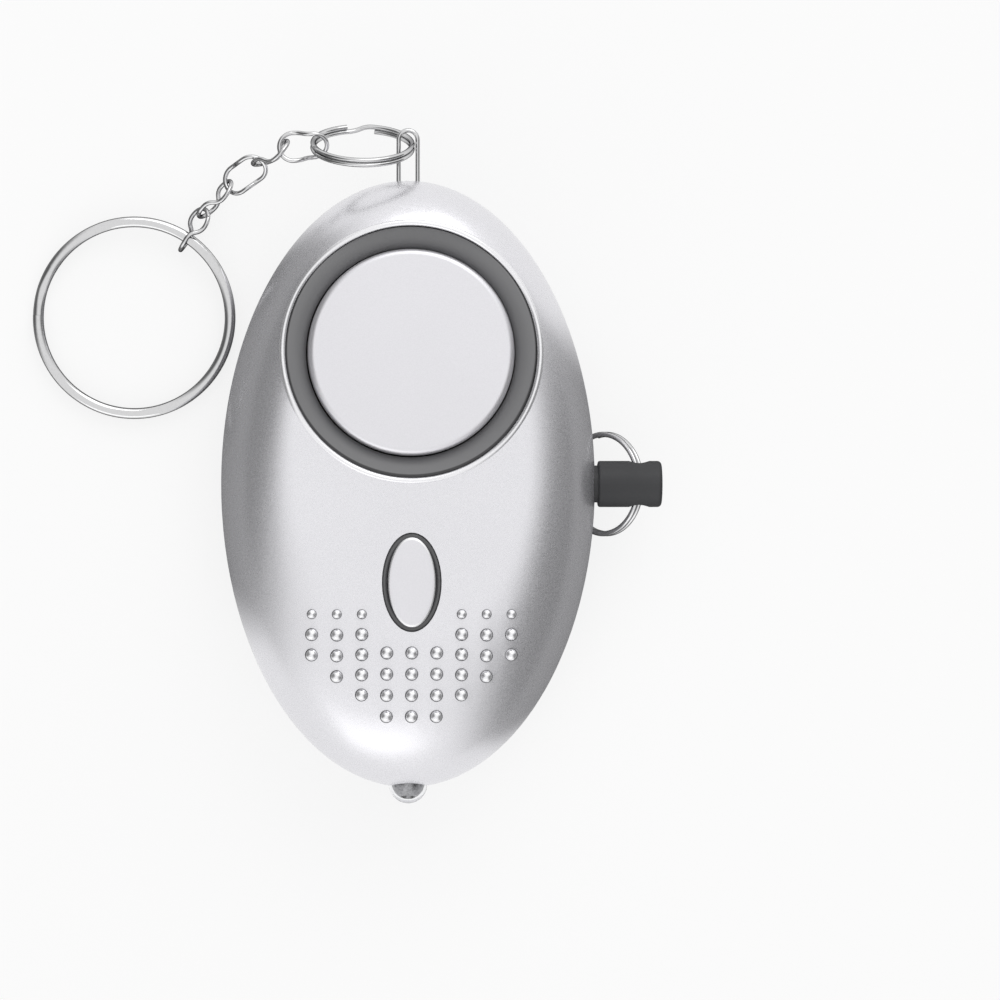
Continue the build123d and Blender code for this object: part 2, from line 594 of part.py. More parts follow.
def battery_holder():
    """Tray under the siren: a trough for the cells and a pocket for each contact."""
    half_x = STACK_LENGTH / 2 + CONTACT_SPACE + HOLDER_WALL
    half_y = CELL_RADIUS + CELL_GAP + HOLDER_WALL
    floor = INNER_BACK_Z + FIT_GAP
    tray = block((-half_x, HOLDER_Y - half_y, floor), (half_x, HOLDER_Y + half_y, floor + HOLDER_HEIGHT))
    trough_x = STACK_LENGTH / 2 + CONTACT_SPACE
    tray -= rod(CELL_RADIUS + CELL_GAP, (-trough_x, HOLDER_Y, CELL_Z), (trough_x, HOLDER_Y, CELL_Z))
    return tray - block((-trough_x, HOLDER_Y - CELL_RADIUS - CELL_GAP, CELL_Z),
                        (trough_x, HOLDER_Y + CELL_RADIUS + CELL_GAP, floor + HOLDER_HEIGHT + 1))


def button_cell(index):
    start = -STACK_LENGTH / 2 + index * (CELL_LENGTH + CELL_GAP)
    step = 0.5
    cell = rod(CELL_RADIUS, (start + step, HOLDER_Y, CELL_Z), (start + CELL_LENGTH, HOLDER_Y, CELL_Z))
    return cell + rod(CELL_RADIUS - 0.9, (start, HOLDER_Y, CELL_Z), (start + 1, HOLDER_Y, CELL_Z))


def battery_contact(side):
    """Sheet contact in the holder's end, with a tongue bent in to touch the stack."""
    end = STACK_LENGTH / 2 + CONTACT_SPACE
    half = CELL_RADIUS * 0.6
    plate = block((end - CONTACT_THICKNESS, HOLDER_Y - half, CELL_Z - half),
                  (end, HOLDER_Y + half, CELL_Z + half))
    reach = CONTACT_SPACE - CONTACT_THICKNESS - CELL_GAP
    tongue = Plane.XZ * make_face(Polyline(
        (end - CONTACT_THICKNESS, half), (end - CONTACT_THICKNESS, half - CONTACT_THICKNESS * 1.5),
        (end - CONTACT_THICKNESS - reach + 0.3, -0.6), (end - CONTACT_THICKNESS - reach, 0.0),
        (end - CONTACT_THICKNESS - reach + 0.05, 0.4), close=True))
    tongue = Pos(0, HOLDER_Y + half / 2, CELL_Z) * extrude(tongue, half)
    contact = plate + tongue
    return contact if side > 0 else mirror(contact, Plane.YZ)


def pin_socket():
    """Sleeve that guides the pull pin, held by the shells' ribs at its collar."""
    sleeve = rod(SOCKET_RADIUS, (SOCKET_START, PIN_Y, SEAM_Z), (SOCKET_END, PIN_Y, SEAM_Z))
    collar = SOCKET_RIB_X + RIB_THICKNESS + FIT_GAP
    sleeve += rod(SOCKET_COLLAR_RADIUS, (collar, PIN_Y, SEAM_Z), (collar + SOCKET_COLLAR_WIDTH, PIN_Y, SEAM_Z))
    bore = rod(PIN_PLUG_RADIUS + PIN_BORE_GAP, (SOCKET_START - 1, PIN_Y, SEAM_Z),
               (SOCKET_END + 1, PIN_Y, SEAM_Z))
    return sleeve - bore


def pin_contact(side):
    """Springy leaf beside the pin's blade, with its foot under the board."""
    x_low = PIN_PLUG_INNER_END - PIN_BLADE_LENGTH
    x_high = x_low + LEAF_WIDTH
    near = PIN_BLADE_THICKNESS / 2 + LEAF_GAP
    low, high = sorted((SEAM_Z + side * near, SEAM_Z + side * (near + LEAF_THICKNESS)))
    riser_y = BOARD_TOP - LEAF_RISER_SETBACKS[side > 0]
    arm = block((x_low, riser_y, low), (x_high, PIN_Y + LEAF_OVERHANG, high))
    riser = block((x_low, riser_y - LEAF_THICKNESS, low), (x_high, riser_y, BOARD_Z))
    foot = block((x_low, riser_y - LEAF_FOOT, BOARD_Z - LEAF_THICKNESS), (x_high, riser_y, BOARD_Z))
    return arm + riser + foot


def knob_hole():
    """Cross hole of the knob, narrow in the middle and flared to both mouths."""
    half = PIN_KNOB_RADIUS + 0.2
    flare = ThreePointArc((KNOB_HOLE_MOUTH, -half), (KNOB_HOLE_WAIST, 0), (KNOB_HOLE_MOUTH, half))
    rest = Polyline((KNOB_HOLE_MOUTH, half), (0, half), (0, -half), (KNOB_HOLE_MOUTH, -half))
    cutter = revolve(make_face(flare + rest), Axis.Y)
    return Pos(PIN_HOLE_X, PIN_Y, SEAM_Z) * cutter


def pull_pin():
    """Blade, plug and neck inside the case, and the knob outside it."""
    knob_end = PIN_KNOB_START + PIN_KNOB_LENGTH
    blade_start = PIN_PLUG_INNER_END - PIN_BLADE_LENGTH
    knob = rod(PIN_KNOB_RADIUS, (PIN_KNOB_START, PIN_Y, SEAM_Z), (knob_end, PIN_Y, SEAM_Z))
    ends = knob.edges().filter_by(GeomType.CIRCLE).sort_by(Axis.X)
    knob = fillet(ends[0], 0.3)
    knob = fillet(knob.edges().filter_by(GeomType.CIRCLE).sort_by(Axis.X)[-1], 0.6)
    pin = knob + rod(PIN_NECK_RADIUS, (SOCKET_END + FIT_GAP, PIN_Y, SEAM_Z),
                     (PIN_KNOB_START + 1, PIN_Y, SEAM_Z))
    pin += rod(PIN_PLUG_RADIUS, (PIN_PLUG_INNER_END, PIN_Y, SEAM_Z), (PIN_KNOB_START, PIN_Y, SEAM_Z))
    pin += block((blade_start, PIN_Y - PIN_BLADE_WIDTH / 2, SEAM_Z - PIN_BLADE_THICKNESS / 2),
                 (PIN_PLUG_INNER_END + 1, PIN_Y + PIN_BLADE_WIDTH / 2, SEAM_Z + PIN_BLADE_THICKNESS / 2))
    return pin - knob_hole()


def screw(x, y, seat, up, head, shank):
    """Cross-slotted screw: its head stands on the seat, and its shank points along up."""
    (head_radius, head_height), (shank_radius, shank_length) = head, shank
    head_top = seat - up * head_height
    body = rod(head_radius, (x, y, head_top), (x, y, seat))
    body += rod(shank_radius, (x, y, seat), (x, y, seat + up * shank_length))
    low, high = sorted((head_top, head_top + up * SLOT_DEPTH))
    long_half, short_half = head_radius * 0.6, SLOT_WIDTH / 2
    body -= block((x - long_half, y - short_half, low), (x + long_half, y + short_half, high))
    return body - block((x - short_half, y - long_half, low), (x + short_half, y + long_half, high))


def case_screws():
    return [screw(x, y, CASE_SCREW_SEAT, 1, CASE_SCREW_HEAD, CASE_SCREW_SHANK) for x, y in CASE_SCREWS]


def board_screws():
    return [screw(x, y, BOARD_TOP_Z, -1, BOARD_SCREW_HEAD, BOARD_SCREW_SHANK) for x, y in BOARD_POSTS]


def wire(route, radii, thickness):
    """Round wire along straight runs joined by arcs."""
    path = FilletPolyline(*route, radius=radii)
    start = Plane(path @ 0, z_dir=path % 0)
    return sweep(start * Circle(thickness / 2), path=path)


def wire_bail():
    """U of wire that stands on the top end, with its feet bent out behind the wall."""
    foot_y = TIP_Y - BAIL_FOOT_DEPTH
    arch_y = TIP_Y + BAIL_HEIGHT - BAIL_WIRE / 2 - BAIL_LEG_X
    bend_y = foot_y + BAIL_FOOT_BEND
    foot_x = BAIL_LEG_X + BAIL_FOOT_BEND
    left_foot = Line((-foot_x - BAIL_FOOT, foot_y), (-foot_x, foot_y))
    left_bend = TangentArc((-foot_x, foot_y), (-BAIL_LEG_X, bend_y), tangent=(1, 0))
    left_leg = Line((-BAIL_LEG_X, bend_y), (-BAIL_LEG_X, arch_y))
    arch = ThreePointArc((-BAIL_LEG_X, arch_y), (0, arch_y + BAIL_LEG_X), (BAIL_LEG_X, arch_y))
    right_leg = Line((BAIL_LEG_X, arch_y), (BAIL_LEG_X, bend_y))
    right_bend = TangentArc((BAIL_LEG_X, bend_y), (foot_x, foot_y), tangent=(0, -1))
    right_foot = Line((foot_x, foot_y), (foot_x + BAIL_FOOT, foot_y))
    path = Wire([left_foot, left_bend, left_leg, arch, right_leg, right_bend, right_foot])
    section = Plane((-foot_x - BAIL_FOOT, foot_y, 0), z_dir=(1, 0, 0)) * Circle(BAIL_WIRE / 2)
    return Pos(0, 0, SEAM_Z) * sweep(section, path=path)


def arc_end_tangent(start, tangent, end):
    """Direction at the end of the arc that leaves start along tangent and reaches end."""
    chord = (end - start).normalized()
    return chord * (2 * tangent.dot(chord)) - tangent


def stack_height(ring):
    """Height of a split ring's two turns together."""
    return 2 * ring[2] + TURN_GAP


def wire_radius(ring):
    """Radius of the middle line of a split ring's wire."""
    return (ring[0] - ring[1]) / 2


def split_ring(ring):
    """Two turns of flat wire about Z, joined by a crossover at angle 0."""
    _, width, height = ring
    radius = wire_radius(ring)
    level = (height + TURN_GAP) / 2
    half_cross = radians(CROSSOVER / 2)

    def point(angle, z):
        return Vector(radius * cos(angle), radius * sin(angle), z)

    def along(angle):
        return Vector(-sin(angle), cos(angle), 0)

    cross_in = point(-half_cross, level)
    low, high = radius * 0.5, radius * 1.5
    for _ in range(50):
        middle = Vector((low + high) / 2, 0, 0)
        outward = arc_end_tangent(cross_in, along(-half_cross), middle).X
        low, high = (low, middle.X) if outward > 0 else (middle.X, high)
    middle_tangent = arc_end_tangent(cross_in, along(-half_cross), middle)
    cross_out = point(half_cross, -level)
    first = half_cross + radians(END_GAP)
    last = 2 * pi - first
    turn = ThreePointArc(point(first, level), point(pi, level), cross_in)
    down = TangentArc(cross_in, middle, tangent=along(-half_cross))
    across = TangentArc(middle, cross_out, tangent=middle_tangent)
    back = ThreePointArc(cross_out, point(pi, -level), point(last, -level))
    path = Wire([turn, down, across, back])
    start = Plane(point(first, level), x_dir=point(first, 0), z_dir=along(first))
    return sweep(start * Ellipse(width / 2, height / 2), path=path)


LINK_RADIUS = (LINK_WIDTH - LINK_WIRE) / 2
LINK_SPAN = LINK_LENGTH - LINK_WIDTH
LINK_HOOK = LINK_WIRE + LINK_GAP


def chain_link():
    """Oval link along X whose two round ends are turned from each other by the twist."""
    half_span, half_twist = LINK_SPAN / 2, radians(LINK_TWIST / 2)
    near = Vector(0, cos(half_twist), -sin(half_twist)) * LINK_RADIUS
    far = Vector(0, cos(half_twist), sin(half_twist)) * LINK_RADIUS
    start, end = Vector(-half_span, 0, 0), Vector(half_span, 0, 0)
    forward = Vector(1, 0, 0)
    halves = []
    for side in (1, -1):
        near_side, far_side = start + near * side, end + far * side
        centre = (near_side + far_side) / 2
        turn = arc_end_tangent(near_side, forward, centre)
        near_quarter = TangentArc(start - forward * LINK_RADIUS, near_side, tangent=near * side)
        rise = TangentArc(near_side, centre, tangent=forward)
        settle = TangentArc(centre, far_side, tangent=turn)
        far_quarter = TangentArc(far_side, end + forward * LINK_RADIUS, tangent=forward)
        path = Wire([near_quarter, rise, settle, far_quarter])
        section = Plane(start - forward * LINK_RADIUS, z_dir=near * side) * Circle(LINK_WIRE / 2)
        halves.append(sweep(section, path=path))
    return halves[0] + halves[1]


def level_plane(origin, heading, drop, roll):
    """Frame whose X runs along a heading and downwards, rolled about that X."""
    heading, drop, roll = radians(heading), radians(drop), radians(roll)
    forward = Vector(cos(heading) * cos(drop), sin(heading) * cos(drop), -sin(drop))
    side = Vector(-sin(heading), cos(heading), 0)
    up = forward.cross(side)
    lateral = side * cos(roll) + up * sin(roll)
    return Plane(origin, x_dir=forward, z_dir=forward.cross(lateral))


# The top ring threads the bail, and its left end carries the chain
BAIL_INNER = BAIL_LEG_X - BAIL_WIRE / 2
TOP_RING_CENTRE = Vector(BAIL_INNER - TOP_RING_SIDE_GAP - TOP_RING[0] / 2,
                         TIP_Y + BAIL_HEIGHT - BAIL_WIRE - TOP_RING_DROP, SEAM_Z)
TILT = radians(TOP_RING_TILT)
TOP_RING_FRONT = Vector(0, -cos(TILT), sin(TILT))
TOP_RING_AXIS = Vector(1, 0, 0).cross(TOP_RING_FRONT)
TOP_RING_LEFT = TOP_RING_CENTRE - Vector(wire_radius(TOP_RING), 0, 0)
BAIL_CROWN = Vector(0, TIP_Y + BAIL_HEIGHT - BAIL_WIRE / 2, SEAM_Z)

# The last link stands on its edge on the floor and lifts the key ring's near side
KEY_RING_NEAR_Z = LINK_RADIUS + LINK_WIRE / 2 + FLOOR_GAP
KEY_RING_FAR_Z = stack_height(KEY_RING) / 2 + FLOOR_GAP


def hang_links(drop):
    """Frame of each link when the links share out one drop along their way."""
    pitch = LINK_SPAN + 2 * LINK_RADIUS - LINK_HOOK
    frames = []
    start = TOP_RING_LEFT
    for heading, roll, share, slack in zip(LINK_HEADINGS, LINK_ROLLS, LINK_DROP_SHARES, LINK_SLACKS):
        slope = degrees(asin(share * drop / pitch))
        forward = level_plane((0, 0, 0), heading, slope, roll).x_dir
        if frames:
            last = frames[-1]
            hooked = (last.x_dir + forward).normalized()
            tip = last.origin + last.x_dir * (LINK_SPAN / 2 + LINK_RADIUS)
            start = tip - hooked * (LINK_HOOK / hooked.dot(forward) + slack) + forward * LINK_RADIUS
        frames.append(level_plane(start + forward * (LINK_SPAN / 2), heading, slope, roll))
    return frames


def chain_end(frames):
    """Middle of the last link's far round end."""
    return frames[-1].origin + frames[-1].x_dir * (LINK_SPAN / 2)


def place_links():
    """Links from the top ring's left end down to the height at which the last one stands."""
    drop = TOP_RING_LEFT.Z - KEY_RING_NEAR_Z
    for _ in range(12):
        frames = hang_links(drop)
        drop += chain_end(frames).Z - KEY_RING_NEAR_Z
    return frames


LINK_FRAMES = place_links()
LAST_END = chain_end(LINK_FRAMES)
KEY_RING_TILT = asin((LAST_END.Z - KEY_RING_FAR_Z) / (2 * wire_radius(KEY_RING)))
KEY_RING_FRAME = level_plane(LAST_END, KEY_RING_HEADING, degrees(KEY_RING_TILT), 0)
KEY_RING_CENTRE = LAST_END + KEY_RING_FRAME.x_dir * wire_radius(KEY_RING)

# The pin's ring leans in under the case until its lowest point clears the floor
PIN_HOLE = Vector(PIN_HOLE_X, PIN_Y, SEAM_Z)
PIN_RING_REACH = wire_radius(PIN_RING) + PIN_RING[0] / 2 - KNOB_HOLE_OFFSET
PIN_RING_HALF = stack_height(PIN_RING) / 2
PIN_RING_LEAN = (atan2(PIN_RING_HALF, PIN_RING_REACH)
                 + acos((SEAM_Z - FLOOR_GAP) / hypot(PIN_RING_REACH, PIN_RING_HALF)))
PIN_RING_DOWN = Vector(-sin(PIN_RING_LEAN), 0, -cos(PIN_RING_LEAN))
PIN_RING_CENTRE = PIN_HOLE + PIN_RING_DOWN * (wire_radius(PIN_RING) - KNOB_HOLE_OFFSET)


def top_split_ring():
    """Crossover at the back, a little left of the middle, as the wire ends show it."""
    frame = Plane(TOP_RING_CENTRE, x_dir=-TOP_RING_FRONT, z_dir=TOP_RING_AXIS)
    return frame * split_ring(TOP_RING)


def key_split_ring():
    frame = Plane(KEY_RING_CENTRE, x_dir=KEY_RING_FRAME.x_dir, z_dir=KEY_RING_FRAME.z_dir)
    return frame * Rot(Z=KEY_RING_ENDS_BEARING - KEY_RING_HEADING) * split_ring(KEY_RING)


def pin_split_ring():
    frame = Plane(PIN_RING_CENTRE, x_dir=PIN_RING_DOWN, z_dir=PIN_RING_DOWN.cross(Vector(0, 1, 0)))
    return frame * Rot(Z=PIN_RING_ENDS_TURN) * split_ring(PIN_RING)


def piezo_leads():
    """Two insulated wires from the siren's back, past the batteries, to the board."""
    leads = []
    under_brass = DISC_TOP - SOUNDER_DISC_THICKNESS
    for start_x, level, end_x in ((-8.9, under_brass - CERAMIC_THICKNESS, -8.2), (-10.6, under_brass, -9.6)):
        x, y, z = (SIREN * Pos(start_x, -3.0, level)).position
        low, end_y = z - 2.5, BOARD_TOP - 2.6
        route = [(x, y, z), (x, y, low), (x - 4.0, y - 6.0, low - 0.4), (x - 4.5, BOARD_TOP + 8.0, low + 0.6),
                 (end_x - 2.5, BOARD_TOP + 2.0, BOARD_TOP_Z + 2.3), (end_x, end_y, BOARD_TOP_Z + 2.8),
                 (end_x, end_y, BOARD_TOP_Z)]
        leads.append(wire(route, 0.9, SIREN_LEAD_THICKNESS))
    return leads


def battery_leads():
    """Two insulated wires from the holder's ends to the underside of the board."""
    end_x = STACK_LENGTH / 2 + CONTACT_SPACE + HOLDER_WALL
    leads = []
    y, z, board_y = HOLDER_Y - 5.0, INNER_BACK_Z + 4.4, BOARD_TOP - 3.5
    for side, board_x in ((-1, -6.0), (1, 3.0)):
        route = [(side * end_x, y, z), (side * (end_x + 1.6), y, z), (side * (end_x + 1.2), y - 4.0, z - 1.0),
                 (board_x, y - 12.0, z - 0.5), (board_x, board_y, BOARD_Z - 5.2), (board_x, board_y, BOARD_Z)]
        leads.append(wire(route, 0.7, BATTERY_LEAD_THICKNESS))
    return leads


def build():
    """Every piece of the alarm by its name."""
    pieces = {
        "front_shell": front_shell(), "rear_shell": rear_shell(),
        "speaker_surround": speaker_surround(), "speaker_cap": speaker_cap(),
        "resonator_cup": resonator_cup(), "piezo_disc": piezo_disc(),
        "piezo_ceramic": piezo_ceramic(), "sounder_clamp_ring": sounder_clamp_ring(),
        "piezo_leads": piezo_leads(), "circuit_board": circuit_board(),
        "driver_chip": driver_chip(), "switching_transistor": switching_transistor(),
        "chip_resistors": chip_resistors(), "coil_core": coil_core(),
        "step_up_coil": step_up_coil(), "smoothing_capacitor": smoothing_capacitor(),
        "tact_switch_base": tact_switch_base(), "switch_plunger": switch_plunger(),
        "button_trim": button_trim(), "light_button": light_button(),
        "led_lamp": led_lamp(), "led_leads": led_leads(),
        "battery_holder": battery_holder(), "battery_leads": battery_leads(),
        "battery_contact_plus": battery_contact(1), "battery_contact_minus": battery_contact(-1),
        "pin_socket": pin_socket(), "pull_pin": pull_pin(),
        "pin_contact_upper": pin_contact(1), "pin_contact_lower": pin_contact(-1),
        "case_screws": case_screws(), "board_screws": board_screws(),
        "wire_bail": wire_bail(), "top_split_ring": top_split_ring(),
        "key_split_ring": key_split_ring(), "pin_split_ring": pin_split_ring(),
    }
    for index in range(CELL_COUNT):
        pieces[f"button_cell_{index + 1}"] = button_cell(index)
    for name, frame in zip(LINK_NAMES, LINK_FRAMES):
        pieces[name] = frame * chain_link()
    return pieces


def main():
    os.makedirs("parts", exist_ok=True)
    for name, piece in build().items():
        solids = piece if isinstance(piece, list) else piece.solids()
        shape = Compound(children=[solid for item in solids for solid in item.solids()])
        export_step(shape, f"parts/{name}.step")
        print(name, len(shape.solids()), round(shape.volume, 1))


main()
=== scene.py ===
"""Looks of an egg-shaped pocket alarm: its surfaces, finishes and photo table.

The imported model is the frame. Shapes that need a finer form than the solids have are surfaces
worked out here as whole arrays, and everything else keeps its solid and gets a finish."""

from math import cos, pi, radians, sin

import bmesh
import bpy
import numpy as np
from bpy.props import FloatProperty, FloatVectorProperty, IntProperty, PointerProperty
from bpy.types import Operator, Panel, PropertyGroup
from mathutils import Matrix, Vector


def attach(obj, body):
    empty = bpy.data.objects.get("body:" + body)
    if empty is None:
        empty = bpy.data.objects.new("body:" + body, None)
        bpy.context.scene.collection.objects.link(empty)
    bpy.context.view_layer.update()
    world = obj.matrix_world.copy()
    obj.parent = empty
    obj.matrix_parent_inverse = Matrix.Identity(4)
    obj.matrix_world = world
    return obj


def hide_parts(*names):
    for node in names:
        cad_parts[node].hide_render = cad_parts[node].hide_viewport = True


bl_info = {
    "name": "Pocket Alarm Looks",
    "version": (1, 0, 0),
    "blender": (4, 5, 0),
    "location": "3D View > Sidebar > Alarm",
    "description": "Surfaces, finishes and photo table of an egg-shaped pocket alarm",
    "category": "Object",
}

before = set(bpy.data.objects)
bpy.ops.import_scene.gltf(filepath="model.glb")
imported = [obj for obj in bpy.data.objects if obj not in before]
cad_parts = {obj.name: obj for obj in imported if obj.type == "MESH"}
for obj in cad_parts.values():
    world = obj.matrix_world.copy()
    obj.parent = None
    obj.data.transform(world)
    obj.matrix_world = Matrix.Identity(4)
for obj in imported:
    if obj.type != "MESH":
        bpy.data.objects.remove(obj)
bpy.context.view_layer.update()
MM = 0.001
SEAM_Z = 11.9 * MM
FINE_FLAKE = 0.1 * MM
# Widths of the soft patterns in the finishes.
LACQUER_CLOUD, MOULDED_CLOUD, RUBBED_MARK, PAPER_FIBRE = 1 / 60, 1 / 90, 1 / 2600, 1 / 900


class CaseSettings(PropertyGroup):
    """Egg-shaped case and its lacquer."""
    width: FloatProperty(name="Width", description="Across the seam", default=55.5 * MM,
                         unit="LENGTH")
    length: FloatProperty(name="Length", description="From tip to tip", default=90 * MM,
                          unit="LENGTH")
    thickness: FloatProperty(name="Thickness", description="From back to front", default=23.8 * MM,
                             unit="LENGTH")
    side_round: FloatProperty(name="Side round", description="Depth of the rounding at the sides",
                              default=11 * MM, unit="LENGTH")
    top_round: FloatProperty(name="Top round", description="Depth of the rounding at the top end",
                             default=12.5 * MM, unit="LENGTH")
    bottom_round: FloatProperty(name="Bottom round",
                                description="Depth of the rounding at the bottom end",
                                default=21.7 * MM, unit="LENGTH")
    lacquer: FloatVectorProperty(name="Lacquer", description="Colour of the silver lacquer",
                                 default=(0.856, 0.85, 0.881), subtype="COLOR", min=0, max=1)
    shade: FloatVectorProperty(name="Lacquer shade", description="Darker colour between the flakes",
                               default=(0.765, 0.76, 0.79), subtype="COLOR", min=0, max=1)
    gloss: FloatProperty(name="Roughness", description="Of the lacquer", default=0.3, min=0, max=1)
    # Brighter than the lacquer: this colour is a painted highlight on the well's rim bead, the
    # button's bevel and the grip dots.
    polish_highlight: FloatVectorProperty(name="Polished edge", description="Colour of the bright edges",
                                default=(0.93, 0.93, 0.94), subtype="COLOR", min=0, max=1)
    flake: FloatProperty(name="Flake", description="Size of the metal flakes", default=0.14 * MM,
                         unit="LENGTH")


class SirenSettings(PropertyGroup):
    """Cap and funnel of the siren."""
    centre_y: FloatProperty(name="Centre", description="Above the case's middle", default=19.5 * MM,
                            unit="LENGTH")
    lean: FloatProperty(name="Lean", description="Tilt towards the top end", default=radians(3),
                        subtype="ANGLE")
    sink: FloatProperty(name="Sink", description="Of the cap's middle under the front",
                        default=0.45 * MM, unit="LENGTH")
    cap_radius: FloatProperty(name="Cap radius", description="Of the silver cap",
                              default=15.25 * MM, unit="LENGTH")
    cap_edge: FloatProperty(name="Cap edge", description="Rounding of the cap's edge",
                            default=0.95 * MM, unit="LENGTH")
    well_radius: FloatProperty(name="Well radius", description="Of the round well in the front",
                               default=18.7 * MM, unit="LENGTH")
    well_floor: FloatProperty(name="Well floor", description="Under the cap's face",
                              default=5.05 * MM, unit="LENGTH")
    rim: FloatProperty(name="Rim", description="Radius of the well's rounded rim",
                       default=0.46 * MM, unit="LENGTH")
    cap: FloatVectorProperty(name="Cap", description="Colour of the cap", subtype="COLOR",
                             default=(0.835, 0.828, 0.86), min=0, max=1)
    # The funnel's grey is its moulding colour; its darkening from the outer edge to the throat
    # beside the cap is painted shade.
    funnel: FloatVectorProperty(name="Funnel", description="Colour of the funnel's outer edge",
                                subtype="COLOR", default=(0.205, 0.205, 0.21), min=0, max=1)
    throat_shade: FloatVectorProperty(name="Throat", description="Colour of the funnel beside the cap",
                                subtype="COLOR", default=(0.165, 0.165, 0.17), min=0, max=1)


class DotSettings(PropertyGroup):
    """Raised grip dots on the lower front."""
    pitch: FloatProperty(name="Pitch", description="Between columns", default=3.68 * MM,
                         unit="LENGTH")
    first_y: FloatProperty(name="First row", description="Of the outer columns", default=-19.2 * MM,
                           unit="LENGTH")
    radius: FloatProperty(name="Radius", description="Of a dot", default=0.95 * MM, unit="LENGTH")
    small_radius: FloatProperty(name="Small radius", description="Of a dot in the first row",
                                default=0.72 * MM, unit="LENGTH")
    # The dark foot below this angle is a painted shadow line round each dot.
    line: FloatProperty(name="Shadow line",
                        description="Angle down a dot where its dark foot starts",
                        default=radians(60), subtype="ANGLE")


class ButtonSettings(PropertyGroup):
    """Oval light button and the trim round it."""
    centre_y: FloatProperty(name="Centre", description="From the case's middle", default=-14.5 * MM,
                            unit="LENGTH")
    width: FloatProperty(name="Width", description="Of the button", default=7.0 * MM, unit="LENGTH")
    length: FloatProperty(name="Length", description="Of the button", default=13.25 * MM,
                          unit="LENGTH")
    proud: FloatProperty(name="Proud", description="Height above the front", default=0.7 * MM,
                         unit="LENGTH")
    # The bevel is lacquered in the bright edge colour, a painted highlight line round the button.
    edge: FloatProperty(name="Edge", description="Width of the button's bright bevel",
                        default=0.2 * MM, unit="LENGTH")
    trim_width: FloatProperty(name="Trim width", description="Across the trim's outside",
                              default=8.76 * MM, unit="LENGTH")
    trim_length: FloatProperty(name="Trim length", description="Along the trim's outside",
                               default=14.6 * MM, unit="LENGTH")
    gap: FloatProperty(name="Gap", description="Between button and trim", default=0.08 * MM,
                       unit="LENGTH")
    button: FloatVectorProperty(name="Button", description="Colour of the button", subtype="COLOR",
                                default=(0.835, 0.828, 0.86), min=0, max=1)
    trim: FloatVectorProperty(name="Trim", description="Colour of the trim", subtype="COLOR",
                              default=(0.085, 0.085, 0.088), min=0, max=1)


class LampSettings(PropertyGroup):
    """What shows inside the clear end lamp."""
    tip_y: FloatProperty(name="Tip", description="Of the clear dome", default=-47.4 * MM,
                         unit="LENGTH")
    core_depth: FloatProperty(name="Core depth", description="From the tip to the core's front",
                              default=1.38 * MM, unit="LENGTH")
    core_radius: FloatProperty(name="Core radius", description="Of the grey core",
                               default=1.64 * MM, unit="LENGTH")
    core_length: FloatProperty(name="Core length", description="Of the grey core", default=2.7 * MM,
                               unit="LENGTH")
    lead_spread: FloatProperty(name="Lead spread", description="Between the two leads",
                               default=2.54 * MM, unit="LENGTH")
    lead_end: FloatProperty(name="Lead end", description="Where the leads leave the resin",
                            default=-38.9 * MM, unit="LENGTH")


class PinSettings(PropertyGroup):
    """Pull pin."""
    colour: FloatVectorProperty(name="Pin", description="Colour of the pin", subtype="COLOR",
                                default=(0.04, 0.0405, 0.043), min=0, max=1)


class WireSettings(PropertyGroup):
    """Bail, rings and chain."""
    nickel: FloatVectorProperty(name="Nickel", description="Colour of the plating", subtype="COLOR",
                                default=(0.67, 0.67, 0.675), min=0, max=1)
    gloss: FloatProperty(name="Roughness", description="Of the plating", default=0.07, min=0, max=1)


class StageSettings(PropertyGroup):
    """Photo table."""
    frame_width: FloatProperty(name="Frame width", description="Width of the view at the seam",
                               default=148.5 * MM, unit="LENGTH")
    centre_x: FloatProperty(name="View centre X", description="Right of the case's middle",
                            default=13.66 * MM, unit="LENGTH")
    centre_y: FloatProperty(name="View centre Y", description="Above the case's middle",
                            default=-2.38 * MM, unit="LENGTH")
    tilt: FloatProperty(name="View tilt", description="Of the view towards the left side",
                        default=radians(3.15), subtype="ANGLE")
    lens: FloatProperty(name="Lens", description="Focal length in millimetres", default=350.0)
    flag_turn: FloatProperty(name="Flag turn", description="Of the two dark sides round the object",
                             default=radians(15), subtype="ANGLE")
    steps: IntProperty(name="Steps", description="Round each turned surface", default=256, min=24)


def material(name, base=(0.8, 0.8, 0.8), metallic=0.0, roughness=0.5, **sockets):
    """Material with its shader's fixed values set on the shader's own sockets."""
    made = bpy.data.materials.new(name)
    made.use_nodes = True
    shader = made.node_tree.nodes["Principled BSDF"]
    shader.inputs["Base Color"].default_value = (*base, 1)
    shader.inputs["Metallic"].default_value = metallic
    shader.inputs["Roughness"].default_value = roughness
    for socket, value in sockets.items():
        shader.inputs[socket.replace("_", " ")].default_value = value
    return made


